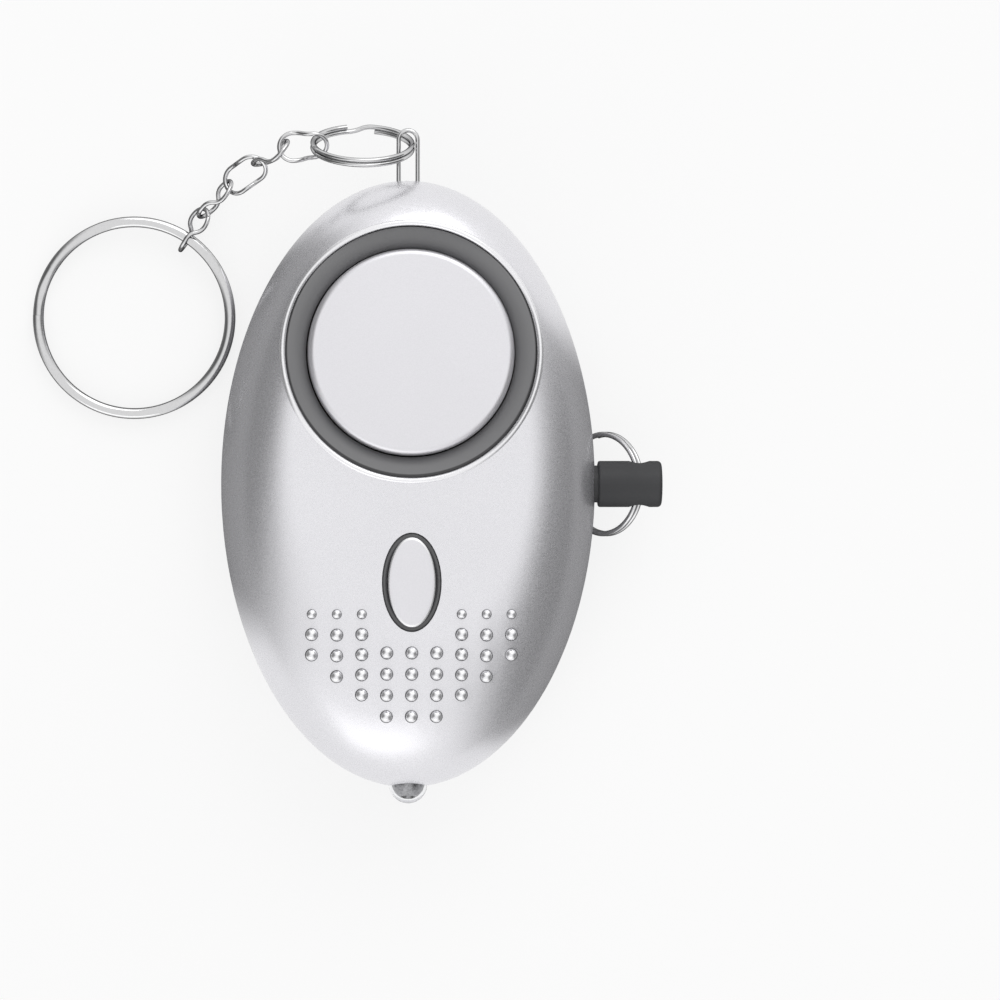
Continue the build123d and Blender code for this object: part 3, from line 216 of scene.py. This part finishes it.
class Nodes:
    """Short way to add and join shader nodes of one material."""

    def __init__(self, owner):
        self.tree = owner.node_tree
        self.shader = self.tree.nodes.get("Principled BSDF")

    def add(self, kind, settings=None, **values):
        node = self.tree.nodes.new("ShaderNode" + kind)
        for key, value in (settings or {}).items():
            setattr(node, key, value)
        for key, value in values.items():
            self.feed(node.inputs[key.replace("_", " ")], value)
        return node

    def feed(self, socket, value):
        if isinstance(value, bpy.types.NodeSocket):
            self.tree.links.new(value, socket)
        else:
            socket.default_value = value

    def place(self):
        return self.add("TexCoord").outputs["Object"]

    def noise(self, scale, detail, roughness, place):
        """Soft noise about 1/scale metres wide."""
        node = self.add("TexNoise", Scale=scale, Detail=detail, Roughness=roughness, Vector=place)
        return node.outputs["Fac"]

    def cells(self, scale, place):
        """Random grey for each cell of about 1/scale metres."""
        node = self.add("TexVoronoi", Scale=scale, Vector=place)
        return self.add("SeparateColor", Color=node.outputs["Color"]).outputs["Red"]

    def span(self, value, low, high, from_low=0.0, from_high=1.0, curve="LINEAR"):
        """Value from low to high while the input goes from from_low to from_high."""
        node = self.add("MapRange", {"interpolation_type": curve}, Value=value, From_Min=from_low,
                        From_Max=from_high, To_Min=low, To_Max=high)
        return node.outputs["Result"]

    def math(self, operation, first, second=0.0):
        node = self.add("Math", {"operation": operation})
        self.feed(node.inputs[0], first)
        self.feed(node.inputs[1], second)
        return node.outputs["Value"]

    def blend(self, factor, first, second):
        """Mix of two colours. Inputs 6 and 7 of the node and its output 2 are those for colours."""
        node = self.add("Mix", {"data_type": "RGBA"})
        self.feed(node.inputs["Factor"], factor)
        for index, part in ((6, first), (7, second)):
            linked = isinstance(part, bpy.types.NodeSocket)
            self.feed(node.inputs[index], part if linked else (*part, 1))
        return node.outputs[2]

    def bump(self, height, strength, distance):
        node = self.add("Bump", Height=height, Strength=strength, Distance=distance)
        self.feed(self.shader.inputs["Normal"], node.outputs["Normal"])

    def colour(self, value):
        self.feed(self.shader.inputs["Base Color"], value)

    def gloss(self, value):
        self.feed(self.shader.inputs["Roughness"], value)


def silver_lacquer(name, light, dark, flake, roughness):
    """Metallic lacquer: random flakes in two greys, each with a slight tilt, under soft clouds."""
    flake_share, cloud_share, spread = 0.6, 0.4, 0.04
    made = material(name, metallic=0.8, roughness=roughness)
    nodes = Nodes(made)
    place = nodes.place()
    flakes = nodes.cells(1 / flake, place)
    clouds = nodes.noise(1 / LACQUER_CLOUD, 2, 0.5, place)
    tone = nodes.math("ADD", nodes.math("MULTIPLY", flakes, flake_share),
                      nodes.math("MULTIPLY", clouds, cloud_share))
    nodes.colour(nodes.blend(nodes.span(tone, 0, 1, 0.1, 0.9), dark, light))
    nodes.gloss(nodes.span(flakes, roughness - spread, roughness + spread))
    nodes.bump(flakes, 0.04, flake * 0.2)
    return made


def shaded(colour):
    """The slightly darker grey between the flakes of a cap or a button."""
    return tuple(part * 0.93 for part in colour)


def moulded(name, base, roughness, grain=0.25 * MM, depth=0.1, **sockets):
    """Moulded plastic or resin: fine grain in gloss and bump, and faint clouds in the colour."""
    made = material(name, base, roughness=roughness, **sockets)
    nodes = Nodes(made)
    place = nodes.place()
    grains = nodes.noise(1 / grain, 3, 0.6, place)
    spread = min(0.08, roughness / 2)
    clouds = nodes.noise(1 / MOULDED_CLOUD, 2, 0.5, place)
    lighter = tuple(min(1.0, part * 1.25 + 0.004) for part in base)
    nodes.colour(nodes.blend(nodes.span(clouds, 0.1, 0.9, 0.3, 0.7), base, lighter))
    nodes.gloss(nodes.span(grains, roughness - spread, roughness + spread, 0.3, 0.7))
    nodes.bump(grains, depth, grain * 0.4)
    return made


def plated(name, base, roughness, scratch=0.35, **sockets):
    """Plated wire: bright metal with fine rubbed marks in its gloss."""
    made = material(name, base, metallic=1.0, roughness=roughness, **sockets)
    nodes = Nodes(made)
    place = nodes.place()
    rubs = nodes.noise(1 / RUBBED_MARK, 4, 0.7, place)
    dull = tuple(part * 0.78 for part in base)
    nodes.colour(nodes.blend(nodes.span(rubs, 0, scratch, 0.45, 0.75), base, dull))
    nodes.gloss(nodes.span(rubs, roughness * 0.7, roughness * 1.8, 0.35, 0.7))
    nodes.bump(rubs, 0.05, 0.01 * MM)
    return made


def dress(node, finish):
    """Gives a solid that stays its finish."""
    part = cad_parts[node]
    part.data.materials.clear()
    part.data.materials.append(finish)
    return part


def eased(corners, radii, steps=8):
    """Closed outline with eased corners.

    Each corner is a quadratic curve between the points one radius along its two sides."""
    corners = np.array(corners, float)
    radii = np.array(radii, float)[:, None]
    before, after = np.roll(corners, 1, 0) - corners, np.roll(corners, -1, 0) - corners
    start = corners + before / np.linalg.norm(before, axis=1, keepdims=True) * radii
    end = corners + after / np.linalg.norm(after, axis=1, keepdims=True) * radii
    t = np.linspace(0, 1, steps)[None, :, None]
    curve = ((1 - t) ** 2 * start[:, None] + 2 * t * (1 - t) * corners[:, None]
             + t ** 2 * end[:, None])
    return curve.reshape(-1, 2)


def turned(profile, steps):
    """Surface of revolution about Z: each (radius, level) runs round x = r cos u, y = r sin u."""
    radius, level = np.array(profile, float).T[:, :, None]
    turn = np.linspace(0, 2 * pi, steps, endpoint=False)
    return np.stack(np.broadcast_arrays(radius * np.cos(turn), radius * np.sin(turn), level), -1)


def oval_rows(half_width, half_length, profile, steps):
    """Oval rows: (inset, level) gives x = (a - inset) cos u, y = (b - inset b/a) sin u."""
    inset, level = np.array(profile, float).T[:, :, None]
    turn = np.linspace(0, 2 * pi, steps, endpoint=False)
    x = (half_width - inset) * np.cos(turn)
    y = (half_length - inset * half_length / half_width) * np.sin(turn)
    return np.stack(np.broadcast_arrays(x, y, level), -1)


def ring_tube(path, across, along, radius, sides=16):
    """Closed tube: path(u) + r cos v across(u) + r sin v along(u)."""
    turn = np.linspace(0, 2 * pi, sides, endpoint=False)[:, None, None]
    return path + radius * (np.cos(turn) * across + np.sin(turn) * along)


def surface(name, rows, finish, body, place=Matrix.Identity(4), closed_rows=True,
            edging=None):
    """Puts a grid of points into a mesh whose columns close on themselves, poles merged.

    edging is (finish, first row, last row) for a band that has a finish of its own. A stack of
    grids becomes one mesh."""
    merge_distance, crease = 1e-7, radians(40)
    count, steps = rows.shape[-3:-1]
    last = count if closed_rows else count - 1
    row = np.arange(last)[:, None]
    column = np.arange(steps)[None, :]
    following, beside = (row + 1) % count, (column + 1) % steps
    quads = np.stack((row * steps + column, row * steps + beside, following * steps + beside,
                      following * steps + column), -1).reshape(-1, 4)
    copies = rows.size // (3 * count * steps)
    quads = (quads + np.arange(copies)[:, None, None] * count * steps).reshape(-1, 4)
    mesh = bpy.data.meshes.new(name)
    mesh.from_pydata(rows.reshape(-1, 3).tolist(), [], quads.tolist())
    mesh.materials.append(finish)
    if edging:
        mesh.materials.append(edging[0])
        banded = (row >= edging[1]) & (row < edging[2]) & (column >= 0)
        banded = np.tile(banded.ravel(), copies).astype(np.int32)
        mesh.polygons.foreach_set("material_index", banded)
    work = bmesh.new()
    work.from_mesh(mesh)
    bmesh.ops.remove_doubles(work, verts=work.verts, dist=merge_distance)
    bmesh.ops.recalc_face_normals(work, faces=work.faces)
    work.to_mesh(mesh)
    work.free()
    mesh.transform(place)
    mesh.shade_smooth()
    mesh.set_sharp_from_angle(angle=crease)
    piece = bpy.data.objects.new(name, mesh)
    bpy.context.scene.collection.objects.link(piece)
    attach(piece, body)
    return piece


def siren_place():
    """Placement of the siren's own frame: its Z leaves the cap and leans to the top end."""
    siren, case = bpy.context.scene.alarm_siren, bpy.context.scene.alarm_case
    move = Matrix.Translation((0, siren.centre_y, case.thickness - siren.sink))
    return move @ Matrix.Rotation(-siren.lean, 4, "X")


def front_height(x, y):
    """Level of the egg's front above each (x, y).

    At angle a the outline is an ellipse drawn in by round (1 - cos a), at height t/2 sin a. The
    angle whose outline meets the point is found by halving."""
    case = bpy.context.scene.alarm_case
    halvings = 30
    low, high = np.zeros_like(x), np.full_like(x, pi / 2)
    for _ in range(halvings):
        angle = (low + high) / 2
        drop = 1 - np.cos(angle)
        half_width = case.width / 2 - case.side_round * drop
        top = case.length / 2 - case.top_round * drop
        bottom = case.length / 2 - case.bottom_round * drop
        inside = (x / half_width) ** 2 + ((y - (top - bottom) / 2) / ((top + bottom) / 2)) ** 2 <= 1
        low, high = np.where(inside, angle, low), np.where(inside, high, angle)
    return SEAM_Z + case.thickness / 2 * np.sin(low)


# Each column of dots, counted from the middle: its first and last place in mm, and its count.
DOT_COLUMNS = {4: (-19.2, -25.2, 3), 3: (-19.2, -28.4, 4), 2: (-19.2, -31.1, 5),
               1: (-24.9, -34.3, 4), 0: (-24.9, -34.3, 4)}
# Finishes of the inner pieces: the nodes that have it, its colour and its roughness.
INSIDE = {
    "white moulding": (("pin_socket", "battery_holder"), (0.8, 0.8, 0.76), 0.5),
    "black moulding": (("resonator_cup", "sounder_clamp_ring", "tact_switch_base", "switch_plunger",
                        "driver_chip", "switching_transistor"), (0.03, 0.03, 0.032), 0.45),
    "ferrite": (("coil_core",), (0.07, 0.07, 0.075), 0.6),
    "board laminate": (("circuit_board",), (0.03, 0.22, 0.09), 0.35),
    "resistor glaze": (("chip_resistors",), (0.03, 0.03, 0.035), 0.3),
    "lead insulation": (("piezo_leads", "battery_leads"), (0.5, 0.03, 0.02), 0.45),
    "ceramic layer": (("piezo_ceramic",), (0.8, 0.78, 0.72), 0.4),
}
INSIDE_METAL = {
    "sheet brass": (("piezo_disc", "pin_contact_upper", "pin_contact_lower"),
                    (0.83, 0.62, 0.27), 0.28),
    "copper windings": (("step_up_coil",), (0.75, 0.33, 0.14), 0.35),
    "capacitor can": (("smoothing_capacitor",), (0.7, 0.71, 0.73), 0.32),
    "zinc plate": (("led_leads", "battery_contact_plus", "battery_contact_minus", "case_screws",
                    "board_screws"), (0.62, 0.62, 0.64), 0.3),
    "cell steel": (("button_cell_1", "button_cell_2", "button_cell_3"),
                   (0.72, 0.72, 0.73), 0.25),
}


class ALARM_OT_finish_insides(Operator):
    """Finish every piece inside the case."""
    bl_idname = "alarm.finish_insides"
    bl_label = "Insides"

    def execute(self, context):
        for name, (nodes, base, roughness) in INSIDE.items():
            finish = moulded(name, base, roughness)
            for node in nodes:
                dress(node, finish)
        for name, (nodes, base, roughness) in INSIDE_METAL.items():
            finish = plated(name, base, roughness)
            for node in nodes:
                dress(node, finish)
        return {"FINISHED"}


class ALARM_OT_make_case(Operator):
    """Finish the two shells and round the rim of the front shell's well with a bead whose brighter
    lacquer is a painted highlight.
    """
    bl_idname = "alarm.make_case"
    bl_label = "Case"

    def execute(self, context):
        case, siren = context.scene.alarm_case, context.scene.alarm_siren
        lacquer = silver_lacquer("silver lacquer", case.lacquer, case.shade, case.flake, case.gloss)
        # The rim bead's brighter lacquer is a painted highlight line round the well.
        bright = silver_lacquer("polished rim painted highlight", case.polish_highlight, case.lacquer, case.flake, 0.22)
        for node in ("front_shell", "rear_shell"):
            dress(node, lacquer)
        place = np.array(siren_place())
        middle, outwards = place[:3, 3], place[:3, 2]
        turn = np.linspace(0, 2 * pi, 2 * context.scene.alarm_stage.steps, endpoint=False)
        across = np.stack((np.cos(turn), np.sin(turn), 0 * turn), -1) @ place[:3, :3].T
        path = middle + siren.well_radius * across
        rounds = 4  # each brings the circle nearer to the front, along the siren's axis
        for _ in range(rounds):
            miss = front_height(path[:, 0], path[:, 1]) - path[:, 2]
            path = path + miss[:, None] * outwards
        beside, below = siren.rim * 0.75, siren.rim * 0.55
        path = path + beside * across - below * outwards
        surface("well_rim", ring_tube(path, across, outwards, siren.rim), bright, "case")
        return {"FINISHED"}


class ALARM_OT_make_siren(Operator):
    """Build the crowned cap and the funnel round it."""
    bl_idname = "alarm.make_siren"
    bl_label = "Siren"

    def execute(self, context):
        siren, case = context.scene.alarm_siren, context.scene.alarm_case
        place, steps = siren_place(), context.scene.alarm_stage.steps
        wall, skirt, crown_drop, ceiling = 1.1 * MM, 3.4 * MM, 0.25 * MM, 1.2 * MM
        edge, flat = siren.cap_edge, siren.cap_radius - siren.cap_edge
        crown = [(flat * share, -crown_drop * share ** 2) for share in np.linspace(0, 1, 12)]
        bend = [(flat + edge * sin(angle), -crown_drop - edge * (1 - cos(angle)))
                for angle in np.linspace(0.03, pi / 2, 14)]
        under = [(siren.cap_radius, -skirt), (siren.cap_radius - wall, -skirt),
                 (siren.cap_radius - wall, -ceiling), (0, -ceiling)]
        lacquer = silver_lacquer("cap lacquer", siren.cap, shaded(siren.cap), FINE_FLAKE, 0.36)
        cap = surface("siren_cap", turned(crown + bend + under, steps), lacquer, "case",
                      place, closed_rows=False)
        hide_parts("speaker_cap")
        outer, inner = siren.well_radius - 0.15 * MM, siren.cap_radius + 0.2 * MM
        floor, shelf = siren.well_floor, 1.15 * MM
        corners = [(outer, -floor), (outer, -shelf), (outer - 0.3 * MM, -shelf),
                   (outer - 1.6 * MM, -1.45 * MM), (inner + 0.5 * MM, -2.0 * MM),
                   (inner, -2.6 * MM), (inner, -floor)]
        radii = [0.1 * MM, 0.15 * MM, 0.12 * MM, 0.6 * MM, 0.4 * MM, 0.2 * MM, 0.1 * MM]
        moulding = moulded("funnel moulding painted shade", siren.funnel, 0.42)
        nodes = Nodes(moulding)
        offset = nodes.add("VectorMath", {"operation": "SUBTRACT"})
        nodes.feed(offset.inputs[0], nodes.place())
        nodes.feed(offset.inputs[1], (0, siren.centre_y, case.thickness - siren.well_floor))
        reach = nodes.add("VectorMath", {"operation": "LENGTH"})
        nodes.feed(reach.inputs[0], offset.outputs["Vector"])
        # Painted shade: the funnel darkens from its outer edge towards the cap, and its outer wall
        # and shelf under the rim are painted near-black.
        share = nodes.span(reach.outputs["Value"], 0, 1, inner, outer)
        rim_shade_line = nodes.span(reach.outputs["Value"], 0, 1, outer, outer + 0.15 * MM)
        shaded_cone = nodes.blend(share, siren.throat_shade, siren.funnel)
        nodes.colour(nodes.blend(rim_shade_line, shaded_cone, (0.045, 0.045, 0.047)))
        funnel = surface("siren_funnel", turned(eased(corners, radii), steps), moulding, "case",
                         place)
        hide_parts("speaker_surround")
        return {"FINISHED"}


class ALARM_OT_make_dots(Operator):
    """Build the crisp grip dots, each a bright dome with a thin dark foot: a painted highlight and
    a painted shadow line.

    Dome: (r sin a cos u, r sin a sin u, r cos a) round a point on the front."""
    bl_idname = "alarm.make_dots"
    bl_label = "Grip dots"

    def execute(self, context):
        dots, case = context.scene.alarm_dots, context.scene.alarm_case
        # The domes' brighter lacquer is a painted highlight, and the dark foot band a painted
        # shadow line.
        lacquer = silver_lacquer("dot lacquer painted highlight", case.polish_highlight, case.lacquer, case.flake, 0.2)
        shadow = moulded("dot foot painted shadow", (0.12, 0.12, 0.125), 0.5, 0.1 * MM, metallic=0.5)
        spots = []
        for column, (first, last, count) in DOT_COLUMNS.items():
            for side in ((-1, 1) if column else (1,)):
                for row in np.linspace(first, last, count):
                    spots.append((side * column * dots.pitch, row * MM))
        spots = np.array(spots)
        small = spots[:, 1] > dots.first_y - dots.radius
        cover, around, bright_rows, shadow_rows = 0.015 * MM, 32, 8, 3
        radius = np.where(small, dots.small_radius, dots.radius)[:, None, None, None] + cover
        turn = np.linspace(0, 2 * pi, around, endpoint=False)
        angle = np.concatenate((np.linspace(0, dots.line, bright_rows + 1),
                                np.linspace(dots.line, pi / 2, shadow_rows + 1)[1:]))
        ring = np.stack((np.cos(turn), np.sin(turn)), -1)
        flat = spots[:, None, None] + radius * np.sin(angle)[:, None, None] * ring
        level = front_height(*spots.T)[:, None, None, None] + radius * np.cos(angle)[:, None, None]
        domes = np.concatenate((flat, np.broadcast_to(level, flat.shape[:3] + (1,))), -1)
        surface("grip_dots", domes, lacquer, "case", closed_rows=False,
                edging=(shadow, bright_rows, len(angle)))
        return {"FINISHED"}


class ALARM_OT_make_button(Operator):
    """Build the crowned light button and the grooved trim round it."""
    bl_idname = "alarm.make_button"
    bl_label = "Light button"

    def execute(self, context):
        shape, case = context.scene.alarm_button, context.scene.alarm_case
        steps = context.scene.alarm_stage.steps
        place = Matrix.Translation((0, shape.centre_y, case.thickness))
        half_width, half_length, edge = shape.width / 2, shape.length / 2, shape.edge
        top, crown_drop, flange = shape.proud, 0.1 * MM, 1.2 * MM
        flange_top, bottom = -1.7 * MM, -2.5 * MM
        crown = [(half_width - (half_width - edge) * share, top - crown_drop * share ** 2)
                 for share in np.linspace(0, 1, 10)]
        bevel = [(edge * 0.85, top - 0.11 * MM), (edge * 0.35, top - 0.16 * MM),
                 (edge * 0.1, top - 0.24 * MM), (0, top - 0.34 * MM)]
        under = [(0, flange_top), (-flange, flange_top), (-flange, bottom), (half_width, bottom)]
        lacquer = silver_lacquer("button lacquer", shape.button, shaded(shape.button),
                                 FINE_FLAKE, 0.36)
        # Painted highlight: the bevel band wears the bright edge colour on both its greys.
        bright = silver_lacquer("button bevel painted highlight", case.polish_highlight, case.polish_highlight, case.flake, 0.3)
        rows = oval_rows(half_width, half_length, crown + bevel + under, steps)
        button = surface("lamp_button", rows, lacquer, "light_button", place,
                         closed_rows=False, edging=(bright, len(crown) - 1, len(crown) + 2))
        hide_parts("light_button")
        outer, inner = shape.trim_width / 2, half_width + shape.gap
        band, base, lip, corner = outer - inner, -1.6 * MM, 0.06 * MM, 0.08 * MM
        corners = [(0, base), (0, -0.3 * MM), (band * 0.22, lip), (band * 0.6, lip),
                   (band, -0.45 * MM), (band, base)]
        profile = eased(corners, [corner] * len(corners), 6)
        rows = oval_rows(outer, shape.trim_length / 2, profile, steps)
        moulding = moulded("trim moulding", shape.trim, 0.3)
        trim = surface("button_ring", rows, moulding, "case", place)
        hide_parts("button_trim")
        return {"FINISHED"}


class ALARM_OT_make_lamp(Operator):
    """Finish the clear lamp and build the core, chip and leads that show in it."""
    bl_idname = "alarm.make_lamp"
    bl_label = "End lamp"

    def execute(self, context):
        lamp, steps = context.scene.alarm_lamp, context.scene.alarm_stage.steps // 4
        resin = moulded("lamp resin", (0.96, 0.97, 0.99), 0.03, 0.6 * MM, 0.02,
                        Transmission_Weight=1.0, IOR=1.5)
        dress("led_lamp", resin)
        silvered = plated("silvered lead", (0.5, 0.5, 0.51), 0.2)
        inner = plated("lamp core", (0.36, 0.36, 0.37), 0.32)
        phosphor = moulded("phosphor", (0.9, 0.74, 0.19), 0.55, 0.08 * MM)
        front, along = lamp.tip_y + lamp.core_depth, Matrix.Rotation(pi / 2, 4, "X")
        place = Matrix.Translation((0, front, SEAM_Z)) @ along
        radius, deep, recess = lamp.core_radius, lamp.core_length, 0.8 * MM
        crown = [(radius * sin(angle), -radius * (1 - cos(angle)))
                 for angle in np.linspace(0.45, pi / 2, 12)]
        core = [(0, -recess), (radius * 0.3, -recess)] + crown + [(radius, -deep), (0, -deep)]
        surface("lamp_core", turned(core, steps), inner, "case", place,
                closed_rows=False)
        chip_radius, chip_height, chip_level = radius * 0.28, 0.35 * MM, -0.75 * MM
        dome = [(chip_radius * sin(angle), chip_level + chip_height * cos(angle))
                for angle in np.linspace(0, pi, 14)]
        surface("lamp_chip", turned(dome, steps), phosphor, "case", place,
                closed_rows=False)
        lead_radius = 0.34 * MM
        for name, side, overlap in (("left", -1, 0), ("right", 1, 0.5 * MM)):
            start = front + deep - overlap
            length = start - lamp.lead_end
            path = [(0, 0), (lead_radius, 0), (lead_radius, length), (0, length)]
            post = Matrix.Translation((side * lamp.lead_spread / 2, start, SEAM_Z)) @ along
            surface(f"lamp_lead_{name}", turned(path, steps), silvered, "case", post,
                    closed_rows=False)
        return {"FINISHED"}


class ALARM_OT_make_pin(Operator):
    """Finish the pull pin."""
    bl_idname = "alarm.make_pin"
    bl_label = "Pull pin"

    def execute(self, context):
        charcoal = moulded("charcoal moulding", context.scene.alarm_pin.colour, 0.5,
                           Specular_IOR_Level=0.35)
        dress("pull_pin", charcoal)
        return {"FINISHED"}


class ALARM_OT_make_wires(Operator):
    """Finish the bail, the split rings and the chain."""
    bl_idname = "alarm.make_wires"
    bl_label = "Rings and chain"

    def execute(self, context):
        wires = context.scene.alarm_wires
        nickel = plated("bright nickel", wires.nickel, wires.gloss,
                        Specular_Tint=(0.06, 0.06, 0.065, 1))
        links = [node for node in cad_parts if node.startswith("link_")]
        for node in ["wire_bail", "top_split_ring", "pin_split_ring", "key_split_ring"] + links:
            dress(node, nickel)
        return {"FINISHED"}


def flag_shade(nodes, place):
    """|x| and |y| of a place in a frame that is turned a little. The dark sides lie along its x."""
    turn = nodes.add("Mapping", Rotation=(0, 0, bpy.context.scene.alarm_stage.flag_turn))
    nodes.feed(turn.inputs["Vector"], place)
    parts = nodes.add("SeparateXYZ", Vector=turn.outputs["Vector"])
    return [nodes.math("ABSOLUTE", parts.outputs[axis]) for axis in ("X", "Y")]


def paper_floor():
    """Pale paper, white to the camera and through resin; in reflections a painted dark grey beside
    the case that glows white towards the ends, a painted reflection.
    """
    made = material("pale paper", roughness=0.7)
    nodes = Nodes(made)
    place = nodes.place()
    fibres = nodes.noise(1 / PAPER_FIBRE, 4, 0.6, place)
    path = nodes.add("LightPath")
    straight = nodes.math("MAXIMUM", path.outputs["Is Camera Ray"],
                          path.outputs["Is Transmission Ray"])
    # Painted reflection: glossy rays see the floor glow white towards the ends and stay grey beside
    # the case.
    across, along = flag_shade(nodes, place)
    ends = nodes.math("SUBTRACT", along, nodes.math("MULTIPLY", across, 0.8))
    ends = nodes.span(ends, 0.04, 0.97, 0.0, 20 * MM, "SMOOTHSTEP")
    reflected_glow = nodes.math("MULTIPLY", path.outputs["Is Glossy Ray"], ends)
    seen = nodes.math("MAXIMUM", nodes.math("MULTIPLY", straight, 0.8), reflected_glow)
    # Dark grey paper seen only in reflections and bounced light, a painted dark reflection; the
    # fibres are the paper's grain.
    paper = nodes.blend(fibres, (0.23, 0.23, 0.23), (0.27, 0.27, 0.27))
    nodes.colour(nodes.blend(straight, paper, (0.93, 0.93, 0.93)))
    glow = nodes.add("Emission", Color=(1, 1, 1, 1), Strength=1.0)
    mix = nodes.add("MixShader")
    nodes.feed(mix.inputs[0], seen)
    nodes.feed(mix.inputs[1], nodes.shader.outputs["BSDF"])
    nodes.feed(mix.inputs[2], glow.outputs["Emission"])
    output = nodes.tree.nodes["Material Output"]
    nodes.feed(output.inputs["Surface"], mix.outputs["Shader"])
    return made


def studio_world():
    """Soft surround: bright overhead and towards both ends, darker towards both sides."""
    world = bpy.data.worlds.new("studio")
    world.use_nodes = True
    nodes = Nodes(world)
    across, along = flag_shade(nodes, nodes.add("TexCoord").outputs["Generated"])
    sides = nodes.math("SUBTRACT", across, nodes.math("MULTIPLY", along, 0.55))
    ramp = nodes.span(sides, 1.0, 0.145, 0.15, 0.72, "SMOOTHSTEP")
    background = nodes.tree.nodes["Background"]
    nodes.feed(background.inputs["Color"], nodes.blend(ramp, (0, 0, 0), (1, 1, 1)))
    background.inputs["Strength"].default_value = 1.0
    return world


def soft_light(name, place, target, size, power):
    """Softbox that points at a target."""
    lamp = bpy.data.lights.new(name, "AREA")
    lamp.shape = "RECTANGLE"
    lamp.size, lamp.size_y = size
    lamp.energy = power
    holder = bpy.data.objects.new(name, lamp)
    holder.matrix_world = aimed(Vector(place), Vector(target), Vector((0, 1, 0)))
    bpy.context.scene.collection.objects.link(holder)


def aimed(place, target, up):
    """Placement whose -Z points at the target and whose Y leans to up."""
    back = (place - target).normalized()
    right = up.cross(back).normalized()
    turn = Matrix((right, back.cross(right), back)).transposed().to_4x4()
    return Matrix.Translation(place) @ turn


class ALARM_OT_make_stage(Operator):
    """Lay the floor and set the light and the camera."""
    bl_idname = "alarm.make_stage"
    bl_label = "Photo table"

    def execute(self, context):
        scene, stage = context.scene, context.scene.alarm_stage
        scene.view_settings.view_transform = "Standard"
        scene.world = studio_world()
        reach, level = 3.0, -0.1 * MM  # just under the case's flat back
        sheet = bpy.data.meshes.new("floor")
        corners = [(-reach, -reach, level), (reach, -reach, level), (reach, reach, level),
                   (-reach, reach, level)]
        sheet.from_pydata(corners, [], [(0, 1, 2, 3)])
        sheet.materials.append(paper_floor())
        floor = bpy.data.objects.new("floor", sheet)
        scene.collection.objects.link(floor)
        middle = (0, 0, SEAM_Z)
        soft_light("key softbox", (0.5, 1.1, 1.3), middle, (0.7, 0.7), 1.6)
        soft_light("top end softbox", (0.2, 0.77, 0.45), middle, (0.7, 0.35), 1.0)
        soft_light("bottom end softbox", (-0.2, -0.77, 0.45), middle, (0.7, 0.35), 0.45)
        lens = bpy.data.cameras.new("photo camera")
        lens.lens = stage.lens
        lens.clip_start, lens.clip_end = 0.01, 10
        distance = stage.frame_width * stage.lens / lens.sensor_width
        target = Vector((stage.centre_x, stage.centre_y, SEAM_Z))
        line = Vector((-sin(stage.tilt), 0, cos(stage.tilt)))
        camera = bpy.data.objects.new("photo camera", lens)
        camera.matrix_world = aimed(target + line * distance, target, Vector((0, 1, 0)))
        scene.collection.objects.link(camera)
        scene.camera = camera
        return {"FINISHED"}


STEPS = (ALARM_OT_make_case, ALARM_OT_make_siren, ALARM_OT_make_dots, ALARM_OT_make_button,
         ALARM_OT_make_lamp, ALARM_OT_make_pin, ALARM_OT_make_wires, ALARM_OT_finish_insides,
         ALARM_OT_make_stage)


class ALARM_PT_builder(Panel):
    """Settings and steps of the alarm's looks."""
    bl_label = "Pocket alarm"
    bl_space_type = "VIEW_3D"
    bl_region_type = "UI"
    bl_category = "Alarm"

    def draw(self, context):
        for name in SETTINGS:
            settings = getattr(context.scene, name)
            column = self.layout.column(align=True)
            for key in settings.__annotations__:
                column.prop(settings, key)
        for step in STEPS:
            self.layout.operator(step.bl_idname)


SETTINGS = {"alarm_case": CaseSettings, "alarm_siren": SirenSettings, "alarm_dots": DotSettings,
            "alarm_button": ButtonSettings, "alarm_lamp": LampSettings, "alarm_pin": PinSettings,
            "alarm_wires": WireSettings, "alarm_stage": StageSettings}


def register():
    for kind in (*SETTINGS.values(), *STEPS, ALARM_PT_builder):
        bpy.utils.register_class(kind)
    for name, kind in SETTINGS.items():
        setattr(bpy.types.Scene, name, PointerProperty(type=kind))


def unregister():
    for name in SETTINGS:
        delattr(bpy.types.Scene, name)
    for kind in (*SETTINGS.values(), *STEPS, ALARM_PT_builder):
        bpy.utils.unregister_class(kind)


def main():
    register()
    for step in STEPS:
        group, operator = step.bl_idname.split(".")
        getattr(getattr(bpy.ops, group), operator)()


if __name__ == "__main__":
    main()
